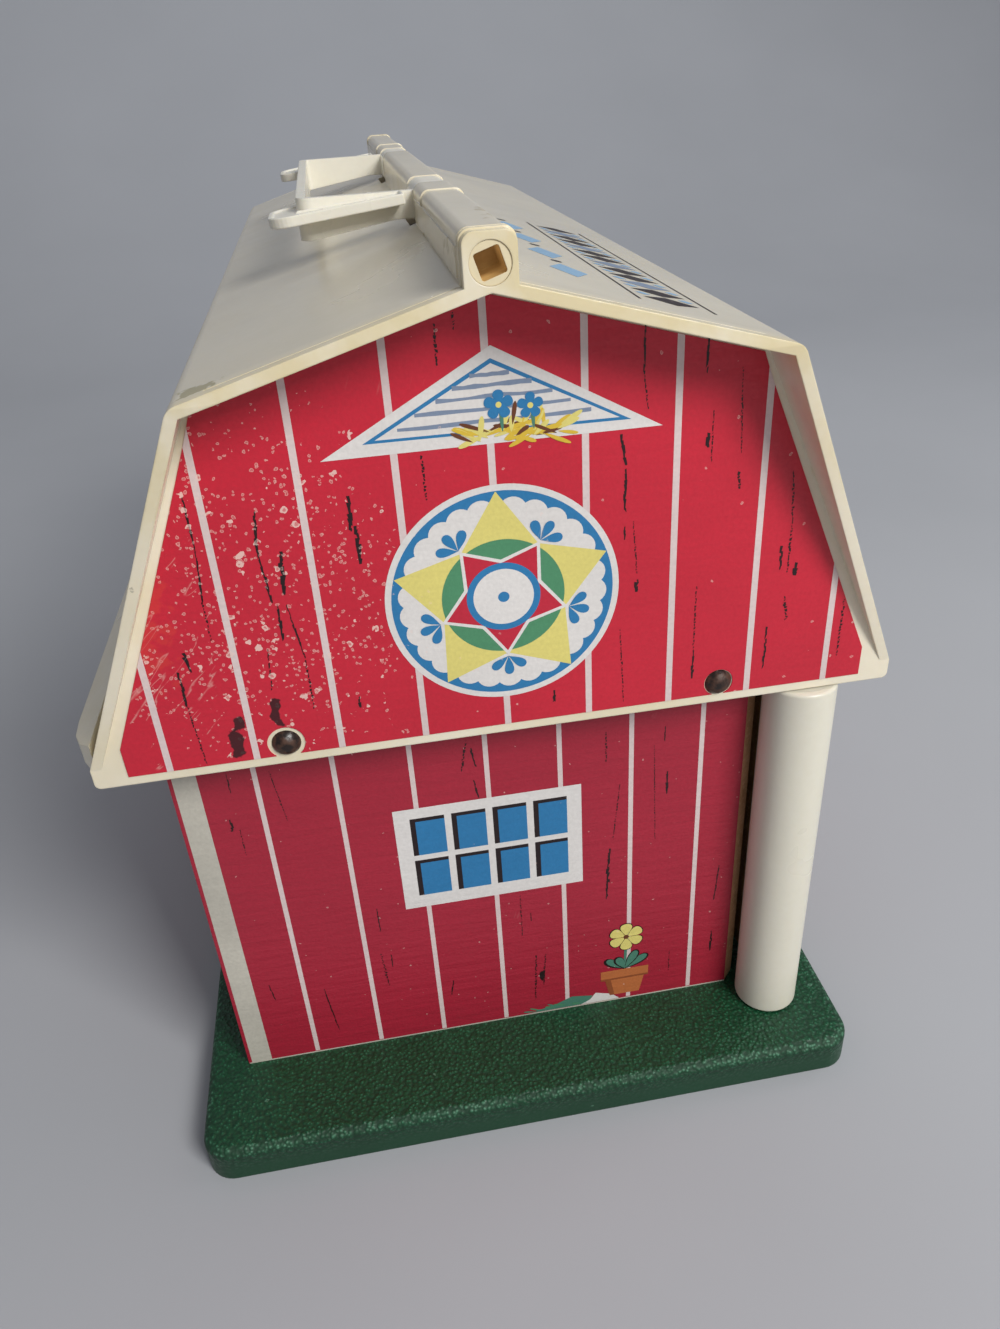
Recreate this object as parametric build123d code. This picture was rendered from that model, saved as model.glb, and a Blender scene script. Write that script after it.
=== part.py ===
from build123d import *
import os

# A toy barn: green moulded base, board walls with printed paper skins, an ivory moulded
# gambrel roof with a folding carry handle on its ridge, and two doors that fill one long side.
#
# Millimetres. Origin: centre of the base's underside. +X is the long side with the doors,
# +Y runs along the ridge from the near end to the far end, +Z is up. The rest pose has both
# doors shut and the handle folded down to -X.

# ---- driving dimensions -------------------------------------------------------------------
# widths and lengths of the whole
BASE_W = 204.0
WALL_END_Y = 137.0          # outer face of each end wall, from the middle
BASE_END_MARGIN = 31.0      # base beyond each end wall
BACK_MARGIN = 13.2          # base beyond the back wall
EAVE_OVERHANG = 0.2         # roof eave beyond the base
POST_INSET = 20.6           # door post's axis from the base's long edge
POST_OUT = 6.9              # door post's axis beyond the end wall's face
PLATE_STAND = 13.6          # gable plate's face beyond the end wall's face
RIM_DEPTH = 15.8            # roof rim beyond the gable plate

# base
BASE_H = 12.0
BASE_CORNER_R = 9.0
BASE_EDGE_R = 3.0
BASE_SKIRT = 2.4
BASE_TOP_T = 3.0
RIB_T = 2.2
PAD_R = 9.0
SILL_T, SILL_H, SILL_GAP = 2.4, 2.0, 0.5
SILL_SHORT = 10.0           # sill stops this far before the post's jaws
PIN_SEAT_Z, PIN_BOSS_WALL, PIN_BOSS_FLOOR = 2.0, 3.0, 1.4

# walls and their paper skins
BOARD_T = 4.0
FRONT_EDGE_BACK = 11.6      # end wall's bevelled front edge behind the post's axis
WALL_IN_ROOF = 13.6         # wall height hidden in the roof
GROOVE_D = 1.2
GROOVE_PLAY = 0.1
PRINT_T = 0.25
PRINT_IN_ROOF = 0.5

# roof cross-section
SHELL_T = 2.5
EAVE_Z = 136.4
LIP_H = 5.6                 # upright part of the eave
KNEE_RISE = 88.5
KNEE_X = 62.6
RIDGE_RISE = 17.9
KNEE_R, EAVE_R = 4.0, 1.5
PLATE_T = 2.4
RIM_LINE_IN, RIM_LINE_W, RIM_LINE_D = 3.0, 0.6, 0.25
BACK_LIP_OUT = 6.3          # flared lip beyond the back eave
BACK_LIP_TIP, BACK_LIP_ROOT = 2.2, 9.5
BACK_LIP_TAPER = 20.0
SHELF_GAP = 1.2             # pin shelf from the end wall's edge
SHELF_IN = 10.0             # pin shelf beyond the post's axis, towards the middle
UPPER_PIN_IN = 7.5
UPPER_BOSS_WALL, UPPER_BOSS_H = 1.75, 9.0

# handle axle and the ridge housings that carry it
AXIS_RISE = 2.6             # axle above the ridge
AXLE_R = 4.0
AXLE_PLAY = 0.05
AXLE_SHORT = 0.2
SOCKET_SIDE, SOCKET_D, SOCKET_TURN = 5.1, 11.0, -18.0
RIDGE_SIDE_WALL, RIDGE_TOP_WALL = 1.2, 1.6
RIDGE_EDGE_R = 2.4
BEAD_IN, BEAD_PITCH, BEAD_W, BEAD_PROUD = 2.6, 1.8, 0.9, 0.3
HUB_BEAD_OUT = 22.0         # the last bead, from the hub's slot
PANEL_IN, PANEL_SHORT, PANEL_SLANT, PANEL_PROUD = 7.0, 5.0, 12.0, 0.4
PANEL_FOOT, PANEL_HEAD = 0.8, 3.2

# carry handle
HUB_OUT_Y, HUB_IN_Y = 70.0, 52.0
HUB_GAP = 0.5
HUB_WALL, HUB_EDGE_R = 1.4, 3.5
HUB_ROOM = 1.4              # roof slot beyond the hub, fore and aft
ARM_T = 2.6
ARM_INSET = 0.2             # arm inside the hub's outer face
ARM_DROP = 1.5              # arm's top below the hub's top
GRIP_REACH = 35.8
ARM_TIP_H, ARM_ROOT_H = 10.3, 6.8
ARM_TAPER_REACH = 10.5
GRIP_EDGE_R = 4.0
FLANGE_T, FLANGE_W, FLANGE_RISE, FLANGE_TILT = 1.8, 8.2, 1.6, 6.2
TONGUE_OUT, TONGUE_Y, TONGUE_CUT = 7.4, 56.0, 6.0

# doors
POST_R, POST_BORE_R, POST_EDGE_R = 9.7, 7.5, 0.9
POST_LOW_GAP, POST_TOP_GAP = 0.5, 0.6
PLUG_L = 9.0
PIN_R, PIN_PLAY, PIN_SHORT = 2.5, 0.05, 1.0
JAW_T, JAW_L = 1.8, 16.0
LEAF_T = 3.2
LEAF_INSET = 1.0            # leaf shorter than the post, at top and foot
LEAF_BORE_GAP = 0.4
DOOR_GAP = 0.6              # half the gap where the two leaves meet
SKIN_INSET = 0.4
KNOB_Y, KNOB_Z = 13.0, 74.0
KNOB_SHANK_R, KNOB_NECK_R, KNOB_NECK_L = 2.0, 3.2, 3.5
KNOB_R, KNOB_T, KNOB_EDGE_R = 6.0, 4.0, 1.8
KNOB_WASHER_R, KNOB_WASHER_T, KNOB_TAIL = 4.5, 1.2, 1.6

# rivets
RIVET_X, RIVET_RISE = 55.2, 6.0
RIVET_HEAD_R, RIVET_DOME_H, RIVET_SHANK_R = 3.6, 2.2, 1.6
RIVET_TAIL_R, RIVET_TAIL_T = 2.6, 0.9
WASHER_T, WASHER_R = 0.8, 4.2
BOSS_R = 5.4
HOLE_PLAY = 0.1

# gable label: its insets from the roof's corners, and its rivet holes
LABEL_SIDE, LABEL_FOOT, LABEL_LIP = 8.4, 2.5, 5.1
LABEL_KNEE_LOW = (0.2, 10.1)
LABEL_KNEE_HIGH = (1.8, 4.7)
LABEL_RIDGE = 5.2
LABEL_HOLE_NEAR_R, LABEL_HOLE_WIDE_R = 3.8, 4.6

# wood blocks, cleats and screws
BLOCK, BLOCK_H = 15.0, 40.0
CLEAT_L, CLEAT_H = 34.0, 12.0
SCREW_R, SCREW_HEAD_R, SCREW_HEAD_H, SCREW_L = 1.5, 3.2, 2.0, 14.0
SCREW_EDGE_R, SCREW_SLOT_W, SCREW_SLOT_D = 0.8, 0.8, 0.8
SCREW_BOSS_WALL, SCREW_BOSS_H = 2.0, 3.0

# loft
LOFT_T, LOFT_Z, LOFT_DEPTH = 3.2, 78.0, 62.8
LOFT_CLEAT, LOFT_CLEAT_SHORT = 8.0, 4.0
RAIL_H, RAIL_T, RAIL_POSTS, RAIL_POST_W = 21.0, 3.0, 8, 5.0
RAIL_EDGE, RAIL_FOOT_H, RAIL_BOARD_H, RAIL_MID_Z = 1.0, 2.5, 4.0, 9.0

# ---- places that follow from them ---------------------------------------------------------
LAP = 0.5                   # moulded ribs and bosses run this far into their wall
PAST = 1.0                  # cuts run this far past a face
BASE_L = 2 * (WALL_END_Y + BASE_END_MARGIN)
UNDER_Z = BASE_H - BASE_TOP_T
EAVE_X = BASE_W / 2 + EAVE_OVERHANG
WALL_BACK_X = -BASE_W / 2 + BACK_MARGIN
POST_X = BASE_W / 2 - POST_INSET
POST_Y = WALL_END_Y + POST_OUT
WALL_FRONT_X = POST_X - FRONT_EDGE_BACK
WALL_TOP_Z = EAVE_Z + WALL_IN_ROOF
PRINT_TOP_Z = EAVE_Z + PRINT_IN_ROOF
WALL_IN_Y = WALL_END_Y - BOARD_T
WALL_IN_X = WALL_BACK_X + BOARD_T
PLATE_Y = WALL_END_Y + PLATE_STAND
RIM_Y = PLATE_Y + RIM_DEPTH
LIP_Z = EAVE_Z + LIP_H
KNEE_Z = LIP_Z + KNEE_RISE
RIDGE_Z = KNEE_Z + RIDGE_RISE
AXIS_Z = RIDGE_Z + AXIS_RISE
AXLE_END_Y = RIM_Y - AXLE_SHORT
RIDGE_HALF = AXLE_R + RIDGE_SIDE_WALL
RIDGE_TOP_Z = AXIS_Z + AXLE_R + RIDGE_TOP_WALL
HUB_HALF = AXLE_R + HUB_WALL
POST_LOW_Z = BASE_H + POST_LOW_GAP
POST_TOP_Z = EAVE_Z - POST_TOP_GAP
DOOR_LOW_Z = POST_LOW_Z + LEAF_INSET
DOOR_TOP_Z = POST_TOP_Z - LEAF_INSET
UPPER_PIN_TOP_Z = EAVE_Z + UPPER_PIN_IN
RIVET_Z = EAVE_Z + RIVET_RISE
SCREW_SEAT_Z = UNDER_Z - SCREW_HEAD_H
SCREW_TIP_Z = SCREW_SEAT_Z + SCREW_L
LOFT_FRONT_X = WALL_IN_X + LOFT_DEPTH
SCREW_POINTS = [
    (WALL_IN_X + BLOCK / 2, WALL_IN_Y - BLOCK / 2),
    (WALL_FRONT_X - CLEAT_L / 2, WALL_IN_Y - CLEAT_H / 2),
]


# ---- small helpers ------------------------------------------------------------------------
def box(x0, x1, y0, y1, z0, z1):
    """A box between two corners."""
    size = Box(x1 - x0, y1 - y0, z1 - z0)
    return Pos((x0 + x1) / 2, (y0 + y1) / 2, (z0 + z1) / 2) * size


def rod(x, y, z0, z1, radius):
    """An upright cylinder."""
    return Pos(x, y, (z0 + z1) / 2) * Cylinder(radius, z1 - z0)


def rod_x(y, z, x0, x1, radius):
    """A cylinder along X."""
    return Pos((x0 + x1) / 2, y, z) * Rot(0, 90, 0) * Cylinder(radius, x1 - x0)


def rod_y(x, z, y0, y1, radius):
    """A cylinder along Y."""
    return Pos(x, (y0 + y1) / 2, z) * Rot(90, 0, 0) * Cylinder(radius, y1 - y0)


def prism_x(points, x0, x1):
    """A polygon given as (y, z), swept along X."""
    outline = Polyline([(x0, y, z) for y, z in points], close=True)
    return extrude(make_face(outline), amount=x1 - x0, dir=(1, 0, 0))


def prism_y(points, y0, y1):
    """A polygon given as (x, z), swept along Y."""
    outline = Polyline([(x, y0, z) for x, z in points], close=True)
    return extrude(make_face(outline), amount=y1 - y0, dir=(0, 1, 0))


def prism_z(points, z0, z1):
    """A polygon given as (x, y), swept along Z."""
    outline = Polyline([(x, y, z0) for x, y in points], close=True)
    return extrude(make_face(outline), amount=z1 - z0, dir=(0, 0, 1))


def both_ends(solid):
    """The solid and its mirror image at the other end."""
    return [solid, mirror(solid, about=Plane.XZ)]


def save(name, *solids):
    """Write one node; several solids stay separate inside it."""
    parts = [s for shape in solids for s in shape.solids()]
    shape = parts[0] if len(parts) == 1 else Compound(children=parts)
    shape.label = name
    export_step(shape, f"parts/{name}.step")


# ---- base ---------------------------------------------------------------------------------
def wall_outline(play=0.0):
    """Plan of the near end wall: its front edge is bevelled to clear the turning post."""
    y_out = -WALL_END_Y - play
    y_in = -WALL_IN_Y + play
    back_x = WALL_BACK_X - play
    front_x = WALL_FRONT_X + play
    return [(back_x, y_out), (front_x, y_out), (front_x + BOARD_T, y_in), (back_x, y_in)]


def base_tray():
    """A shallow tray, open below, ribbed, with grooves for the walls and a low door sill."""
    body = extrude(RectangleRounded(BASE_W, BASE_L, BASE_CORNER_R), amount=BASE_H)
    body = fillet(body.faces().sort_by(Axis.Z)[-1].edges(), BASE_EDGE_R)
    hollow_w = BASE_W - 2 * BASE_SKIRT
    hollow_l = BASE_L - 2 * BASE_SKIRT
    hollow = RectangleRounded(hollow_w, hollow_l, BASE_CORNER_R - BASE_SKIRT)
    body -= extrude(hollow, amount=UNDER_Z)
    rib_x = hollow_w / 2 + LAP
    rib_y = hollow_l / 2 + LAP
    for x in (-BASE_W / 4, 0, BASE_W / 4):
        body += box(x - RIB_T / 2, x + RIB_T / 2, -rib_y, rib_y, 0, UNDER_Z + LAP)
    for y in (-BASE_L / 4, 0, BASE_L / 4):
        body += box(-rib_x, rib_x, y - RIB_T / 2, y + RIB_T / 2, 0, UNDER_Z + LAP)
    body += rod(0, 0, 0, UNDER_Z + LAP, PAD_R)
    boss_low = UNDER_Z - SCREW_BOSS_H
    for side in (-1, 1):
        pin_low = PIN_SEAT_Z - PIN_BOSS_FLOOR
        body += rod(POST_X, side * POST_Y, pin_low, UNDER_Z + LAP, PIN_R + PIN_BOSS_WALL)
        for x, y in SCREW_POINTS:
            body += rod(x, side * y, boss_low, UNDER_Z + LAP, SCREW_HEAD_R + SCREW_BOSS_WALL)
    sill_x = POST_X - LEAF_T / 2 - SILL_GAP
    sill_y = POST_Y - JAW_L - SILL_SHORT
    body += box(sill_x - SILL_T, sill_x, -sill_y, sill_y, BASE_H - LAP, BASE_H + SILL_H)
    groove_z = BASE_H - GROOVE_D
    for cut in both_ends(prism_z(wall_outline(GROOVE_PLAY), groove_z, BASE_H + PAST)):
        body -= cut
    back_x = WALL_BACK_X - GROOVE_PLAY
    groove_x = WALL_IN_X + GROOVE_PLAY
    body -= box(back_x, groove_x, -WALL_END_Y, WALL_END_Y, groove_z, BASE_H + PAST)
    for side in (-1, 1):
        body -= rod(POST_X, side * POST_Y, PIN_SEAT_Z, BASE_H + PAST, PIN_R)
        for x, y in SCREW_POINTS:
            body -= rod(x, side * y, 0, BASE_H + PAST, SCREW_R + HOLE_PLAY)
            body -= rod(x, side * y, 0, SCREW_SEAT_Z, SCREW_HEAD_R + 2 * HOLE_PLAY)
    return body


def base_screws():
    """Screws up through the base into the wooden blocks and cleats."""
    screws = []
    for side in (-1, 1):
        for x, y in SCREW_POINTS:
            low = SCREW_SEAT_Z - SCREW_HEAD_H
            head = rod(x, side * y, low, SCREW_SEAT_Z, SCREW_HEAD_R)
            head = fillet(head.faces().sort_by(Axis.Z)[0].edges(), SCREW_EDGE_R)
            y0 = side * y - SCREW_SLOT_W / 2
            slot_z = low + SCREW_SLOT_D
            slot = box(x - SCREW_HEAD_R, x + SCREW_HEAD_R, y0, y0 + SCREW_SLOT_W, 0, slot_z)
            shank = rod(x, side * y, SCREW_SEAT_Z - LAP, SCREW_TIP_Z, SCREW_R)
            screws.append(head + shank - slot)
    return screws


# ---- walls --------------------------------------------------------------------------------
def near_end_wall():
    wall = prism_z(wall_outline(), BASE_H - GROOVE_D, WALL_TOP_Z)
    hole_r = RIVET_SHANK_R + HOLE_PLAY
    for x in (-RIVET_X, RIVET_X):
        wall -= rod_y(x, RIVET_Z, -WALL_END_Y - PAST, -WALL_IN_Y + PAST, hole_r)
    return wall


def back_wall():
    low = BASE_H - GROOVE_D
    return box(WALL_BACK_X, WALL_IN_X, -WALL_IN_Y, WALL_IN_Y, low, WALL_TOP_Z)


def near_end_print():
    y_out = -WALL_END_Y - PRINT_T
    return box(WALL_BACK_X, WALL_FRONT_X, y_out, -WALL_END_Y, BASE_H, PRINT_TOP_Z)


def back_print():
    y_end = WALL_END_Y + PRINT_T
    return box(WALL_BACK_X - PRINT_T, WALL_BACK_X, -y_end, y_end, BASE_H, PRINT_TOP_Z)


def corner_block():
    """Wood block in the near back corner that both walls are glued to."""
    y0 = -WALL_IN_Y
    block = box(WALL_IN_X, WALL_IN_X + BLOCK, y0, y0 + BLOCK, BASE_H, BASE_H + BLOCK_H)
    x, y = SCREW_POINTS[0]
    return block - rod(x, -y, BASE_H - PAST, SCREW_TIP_Z, SCREW_R)


def wall_cleat():
    """Wood cleat at the foot of the near end wall, beside the doors."""
    y0 = -WALL_IN_Y
    x0 = WALL_FRONT_X - CLEAT_L
    cleat = box(x0, WALL_FRONT_X, y0, y0 + CLEAT_H, BASE_H, BASE_H + CLEAT_H)
    x, y = SCREW_POINTS[1]
    return cleat - rod(x, -y, BASE_H - PAST, SCREW_TIP_Z, SCREW_R)


# ---- roof ---------------------------------------------------------------------------------
def roof_face(bottom_z, inset=0.0):
    """Gambrel cross-section as a face in the XZ plane, optionally inset."""
    right = [(EAVE_X, bottom_z), (EAVE_X, LIP_Z), (KNEE_X, KNEE_Z)]
    left = [(-x, z) for x, z in reversed(right)]
    points = right + [(0, RIDGE_Z)] + left
    face = make_face(Polyline([(x, 0, z) for x, z in points], close=True))
    if inset:
        face = offset(face, amount=-inset, kind=Kind.INTERSECTION)
    return face


def along_y(face, y0, y1):
    """Sweep a face of the XZ plane from y0 to y1."""
    return extrude(Pos(0, y0, 0) * face, amount=y1 - y0, dir=(0, 1, 0))


def slope_z(x):
    """Height of the roof's outer surface above the point x of an upper slope."""
    return RIDGE_Z - abs(x) * RIDGE_RISE / KNEE_X


def top_edges(solid, z):
    """The solid's edges along Y that lie above z."""
    return [e for e in solid.edges().filter_by(Axis.Y) if e.center().Z > z]


def roof_shell():
    """Slopes and gable plates, with the rim drawn back below each knee."""
    deep = EAVE_Z - 3 * SHELL_T
    outer = along_y(roof_face(EAVE_Z), -RIM_Y, RIM_Y)
    lines = outer.edges().filter_by(Axis.Y)
    outer = fillet([e for e in lines if abs(e.center().Z - KNEE_Z) < PAST], KNEE_R)
    lines = outer.edges().filter_by(Axis.Y)
    outer = fillet([e for e in lines if abs(e.center().Z - EAVE_Z) < PAST], EAVE_R)
    shell = outer - along_y(roof_face(deep, SHELL_T), -RIM_Y - PAST, RIM_Y + PAST)
    filling = along_y(roof_face(deep, SHELL_T / 2), -PLATE_Y, -PLATE_Y + PLATE_T)
    plate = filling & box(-EAVE_X, EAVE_X, -PLATE_Y, -PLATE_Y + PLATE_T, EAVE_Z, RIDGE_Z)
    for solid in both_ends(plate):
        shell += solid
    # below each knee the rim runs back to the plate's foot
    before, below = -RIM_Y - PAST, EAVE_Z - PAST
    wedge = [(-RIM_Y, KNEE_Z), (-PLATE_Y, LIP_Z), (-PLATE_Y, below), (before, below), (before, KNEE_Z)]
    for cut in both_ends(prism_x(wedge, -EAVE_X - PAST, EAVE_X + PAST)):
        shell -= cut
    # a shallow line on the slopes, set in from the rim
    inner = along_y(roof_face(deep - PAST, RIM_LINE_D), -PAST, RIM_LINE_W + PAST)
    line = along_y(roof_face(deep), 0, RIM_LINE_W) - inner
    line &= box(-EAVE_X, EAVE_X, 0, RIM_LINE_W, KNEE_Z + KNEE_R / 2, RIDGE_Z)
    for cut in both_ends(Pos(0, -RIM_Y + RIM_LINE_IN, 0) * line):
        shell -= cut
    return shell


def ridge_housings():
    """Housings on the ridge that carry the axle, with beads and raised panels at the ends."""
    out_y = HUB_OUT_Y + HUB_GAP
    in_y = HUB_IN_Y - HUB_GAP
    foot = slope_z(RIDGE_HALF)
    solids = []
    for y0, y1 in ((-RIM_Y, -out_y), (-in_y, in_y), (out_y, RIM_Y)):
        housing = box(-RIDGE_HALF, RIDGE_HALF, y0, y1, foot - 2 * LAP, RIDGE_TOP_Z)
        solids.append(fillet(top_edges(housing, RIDGE_TOP_Z - LAP), RIDGE_EDGE_R))
    half = RIDGE_HALF + BEAD_PROUD
    top = RIDGE_TOP_Z + BEAD_PROUD
    for y0 in (-RIM_Y + BEAD_IN, -RIM_Y + BEAD_IN + BEAD_PITCH, -out_y - HUB_BEAD_OUT):
        bead = box(-half, half, y0, y0 + BEAD_W, foot, top)
        solids += both_ends(fillet(top_edges(bead, top - LAP), RIDGE_EDGE_R))
    y0, y1 = -RIM_Y + PANEL_IN, -out_y - PANEL_SHORT
    low, high = foot + PANEL_FOOT, RIDGE_TOP_Z - PANEL_HEAD
    panel = [(y0, low), (y0, high), (y1, high), (y1 - PANEL_SLANT, low)]
    half = RIDGE_HALF + PANEL_PROUD
    return solids + both_ends(prism_x(panel, -half, half))


def back_lip():
    """Flared lip along the back eave, tapering off at both ends."""
    root_x = -EAVE_X + SHELL_T / 2
    tip_x = -EAVE_X - BACK_LIP_OUT
    mid_z = LIP_Z + BACK_LIP_TIP / 2 - PAST
    section = [
        (root_x, mid_z + 0.67 * BACK_LIP_ROOT), (tip_x, mid_z + BACK_LIP_TIP / 2),
        (tip_x, mid_z - BACK_LIP_TIP / 2), (root_x, mid_z - 0.33 * BACK_LIP_ROOT),
    ]
    end_y = PLATE_Y - PAST
    plan = [
        (root_x, -end_y), (-EAVE_X - 0.45 * BACK_LIP_OUT, -end_y + 0.3 * BACK_LIP_TAPER),
        (-EAVE_X - 0.87 * BACK_LIP_OUT, -end_y + 0.65 * BACK_LIP_TAPER),
        (tip_x, -end_y + BACK_LIP_TAPER),
    ]
    plan += [(x, -y) for x, y in reversed(plan)]
    return prism_y(section, -end_y, end_y) & prism_z(plan, mid_z - BACK_LIP_ROOT, mid_z + BACK_LIP_ROOT)


def whole_roof():
    """One moulding: shell, ridge housings, rivet bosses, pin shelves and the back lip."""
    shell = roof_shell()
    for solid in ridge_housings():
        shell += solid
    shell += back_lip()
    # rivet bosses between plate and wall
    for x in (-RIVET_X, RIVET_X):
        boss = rod_y(x, RIVET_Z, -PLATE_Y + PLATE_T - LAP, -WALL_END_Y, BOSS_R)
        hole = rod_y(x, RIVET_Z, -PLATE_Y - PAST, -WALL_END_Y + PAST, RIVET_SHANK_R + HOLE_PLAY)
        for solid, cut in zip(both_ends(boss), both_ends(hole)):
            shell = shell + solid - cut
    # shelves over the door posts, with bosses for the upper pins
    shelf_x = WALL_FRONT_X + BOARD_T + SHELF_GAP
    for side in (-1, 1):
        y0, y1 = sorted((side * (PLATE_Y - PLATE_T / 2), side * (POST_Y - SHELF_IN)))
        shell += box(shelf_x, EAVE_X - SHELL_T / 2, y0, y1, EAVE_Z, EAVE_Z + SHELL_T)
        boss_r = PIN_R + UPPER_BOSS_WALL
        shell += rod(POST_X, side * POST_Y, EAVE_Z, EAVE_Z + UPPER_BOSS_H, boss_r)
        shell -= rod(POST_X, side * POST_Y, EAVE_Z - PAST, UPPER_PIN_TOP_Z, PIN_R)
    # slots for the hubs, and the bore for the axle
    half = HUB_HALF + HUB_ROOM
    low = AXIS_Z - HUB_HALF - HUB_ROOM - 3 * PAST
    slot = box(-half, half, -HUB_OUT_Y - HUB_GAP, -HUB_IN_Y + HUB_GAP, low, RIDGE_TOP_Z + PAST)
    for cut in both_ends(slot):
        shell -= cut
    return shell - rod_y(0, AXIS_Z, -RIM_Y - PAST, RIM_Y + PAST, AXLE_R + AXLE_PLAY)


def near_gable_print():
    """Paper label on the gable plate, clear of the rim, with holes at the rivets."""
    side_x = EAVE_X - LABEL_SIDE
    half = [
        (side_x, EAVE_Z + LABEL_FOOT), (side_x, LIP_Z + LABEL_LIP),
        (KNEE_X + LABEL_KNEE_LOW[0], KNEE_Z - LABEL_KNEE_LOW[1]),
        (KNEE_X - LABEL_KNEE_HIGH[0], KNEE_Z - LABEL_KNEE_HIGH[1]),
    ]
    points = half + [(0, RIDGE_Z - LABEL_RIDGE)] + [(-x, z) for x, z in reversed(half)]
    label = prism_y(points, -PLATE_Y - PRINT_T, -PLATE_Y)
    for x, radius in ((-RIVET_X, LABEL_HOLE_WIDE_R), (RIVET_X, LABEL_HOLE_NEAR_R)):
        label -= rod_y(x, RIVET_Z, -PLATE_Y - PAST, -PLATE_Y + PAST, radius)
    return label


def rivet(x):
    """Domed rivet through plate, boss and wall, rolled over inside."""
    ball_r = (RIVET_HEAD_R ** 2 + RIVET_DOME_H ** 2) / (2 * RIVET_DOME_H)
    ball = Pos(x, -PLATE_Y - RIVET_DOME_H + ball_r, RIVET_Z) * Sphere(ball_r)
    head = ball & rod_y(x, RIVET_Z, -PLATE_Y - RIVET_DOME_H - PAST, -PLATE_Y, ball_r)
    tail_y = -WALL_IN_Y + WASHER_T
    shank = rod_y(x, RIVET_Z, -PLATE_Y - HOLE_PLAY, tail_y + RIVET_TAIL_T, RIVET_SHANK_R)
    return head + shank + rod_y(x, RIVET_Z, tail_y, tail_y + RIVET_TAIL_T, RIVET_TAIL_R)


def rivet_washer(x):
    ring = rod_y(x, RIVET_Z, -WALL_IN_Y, -WALL_IN_Y + WASHER_T, WASHER_R)
    hole_r = RIVET_SHANK_R + HOLE_PLAY
    return ring - rod_y(x, RIVET_Z, -WALL_IN_Y - PAST, -WALL_IN_Y + WASHER_T + PAST, hole_r)


# ---- handle -------------------------------------------------------------------------------
def handle_axle():
    """Round axle the length of the ridge, with a square socket in each end."""
    axle = rod_y(0, AXIS_Z, -AXLE_END_Y, AXLE_END_Y, AXLE_R)
    socket = Box(SOCKET_SIDE, SOCKET_D + PAST, SOCKET_SIDE)
    socket = fillet(socket.edges().filter_by(Axis.Y), SOCKET_SIDE / 10)
    socket = Pos(0, -AXLE_END_Y + (SOCKET_D - PAST) / 2, AXIS_Z) * Rot(0, SOCKET_TURN, 0) * socket
    for cut in both_ends(socket):
        axle -= cut
    return axle


def handle_flange():
    """Outward flange on the near arm; beyond the grip it ends in a tongue."""
    arm_y = HUB_OUT_Y - ARM_INSET
    out_y = arm_y + FLANGE_W
    root_x = -HUB_HALF - 2.5 * PAST
    tip_x = -GRIP_REACH - TONGUE_OUT
    cut, blunt = TONGUE_CUT, TONGUE_CUT / 3
    outline = [
        (root_x, -arm_y + PAST), (root_x, -out_y),
        (tip_x + cut, -out_y), (tip_x + blunt, -out_y + blunt), (tip_x, -out_y + cut),
        (tip_x, -TONGUE_Y - cut), (tip_x + blunt, -TONGUE_Y - blunt), (tip_x + cut, -TONGUE_Y),
        (-GRIP_REACH + PAST, -TONGUE_Y), (-GRIP_REACH + PAST, -arm_y + PAST),
    ]
    tilted = Rot(0, -FLANGE_TILT, 0) * Pos(-root_x, 0, 0) * prism_z(outline, 0, FLANGE_T)
    return Pos(root_x, 0, AXIS_Z + FLANGE_RISE) * tilted


def carry_handle():
    """Flat-walled bail with a hub on each arm."""
    arm_y = HUB_OUT_Y - ARM_INSET
    root_x = -HUB_HALF + PAST
    top = AXIS_Z + HUB_HALF - ARM_DROP
    tip_low, root_low = top - ARM_TIP_H, top - ARM_ROOT_H
    profile = [
        (root_x, top), (-GRIP_REACH, top), (-GRIP_REACH, tip_low),
        (-GRIP_REACH + ARM_T, tip_low), (-ARM_TAPER_REACH, root_low), (root_x, root_low),
    ]
    block = prism_y(profile, -arm_y, arm_y)
    ends = [e for e in block.edges().filter_by(Axis.Z) if e.center().X < -GRIP_REACH + PAST]
    block = fillet(ends, GRIP_EDGE_R)
    in_y = arm_y - ARM_T
    inside = box(-GRIP_REACH + ARM_T, HUB_HALF, -in_y, in_y, tip_low - PAST, top + PAST)
    ends = [e for e in inside.edges().filter_by(Axis.Z) if e.center().X < 0]
    band = block - fillet(ends, GRIP_EDGE_R - ARM_T)
    hub_face = RectangleRounded(2 * HUB_HALF, 2 * HUB_HALF, HUB_EDGE_R)
    hub = extrude(Plane.XZ * hub_face, amount=HUB_OUT_Y - HUB_IN_Y)
    hub = Pos(0, -HUB_IN_Y, AXIS_Z) * hub
    for solid in both_ends(handle_flange()) + both_ends(hub):
        band += solid
    return band - rod_y(0, AXIS_Z, -HUB_OUT_Y - PAST, HUB_OUT_Y + PAST, AXLE_R)


# ---- doors --------------------------------------------------------------------------------
def near_door_post():
    """Round hollow post that turns with the door; two jaws hold the leaf."""
    post = rod(POST_X, -POST_Y, POST_LOW_Z, POST_TOP_Z, POST_R)
    post = fillet(post.edges().filter_by(GeomType.CIRCLE), POST_EDGE_R)
    half = LEAF_T / 2
    jaw_y = -POST_Y + JAW_L
    for side in (-1, 1):
        x0, x1 = sorted((POST_X + side * half, POST_X + side * (half + JAW_T)))
        post += box(x0, x1, -POST_Y + POST_BORE_R, jaw_y, DOOR_LOW_Z, DOOR_TOP_Z)
    post -= rod(POST_X, -POST_Y, POST_LOW_Z - PAST, POST_TOP_Z + PAST, POST_BORE_R)
    return post - box(POST_X - half, POST_X + half, -POST_Y, jaw_y + PAST, DOOR_LOW_Z, DOOR_TOP_Z)


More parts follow.
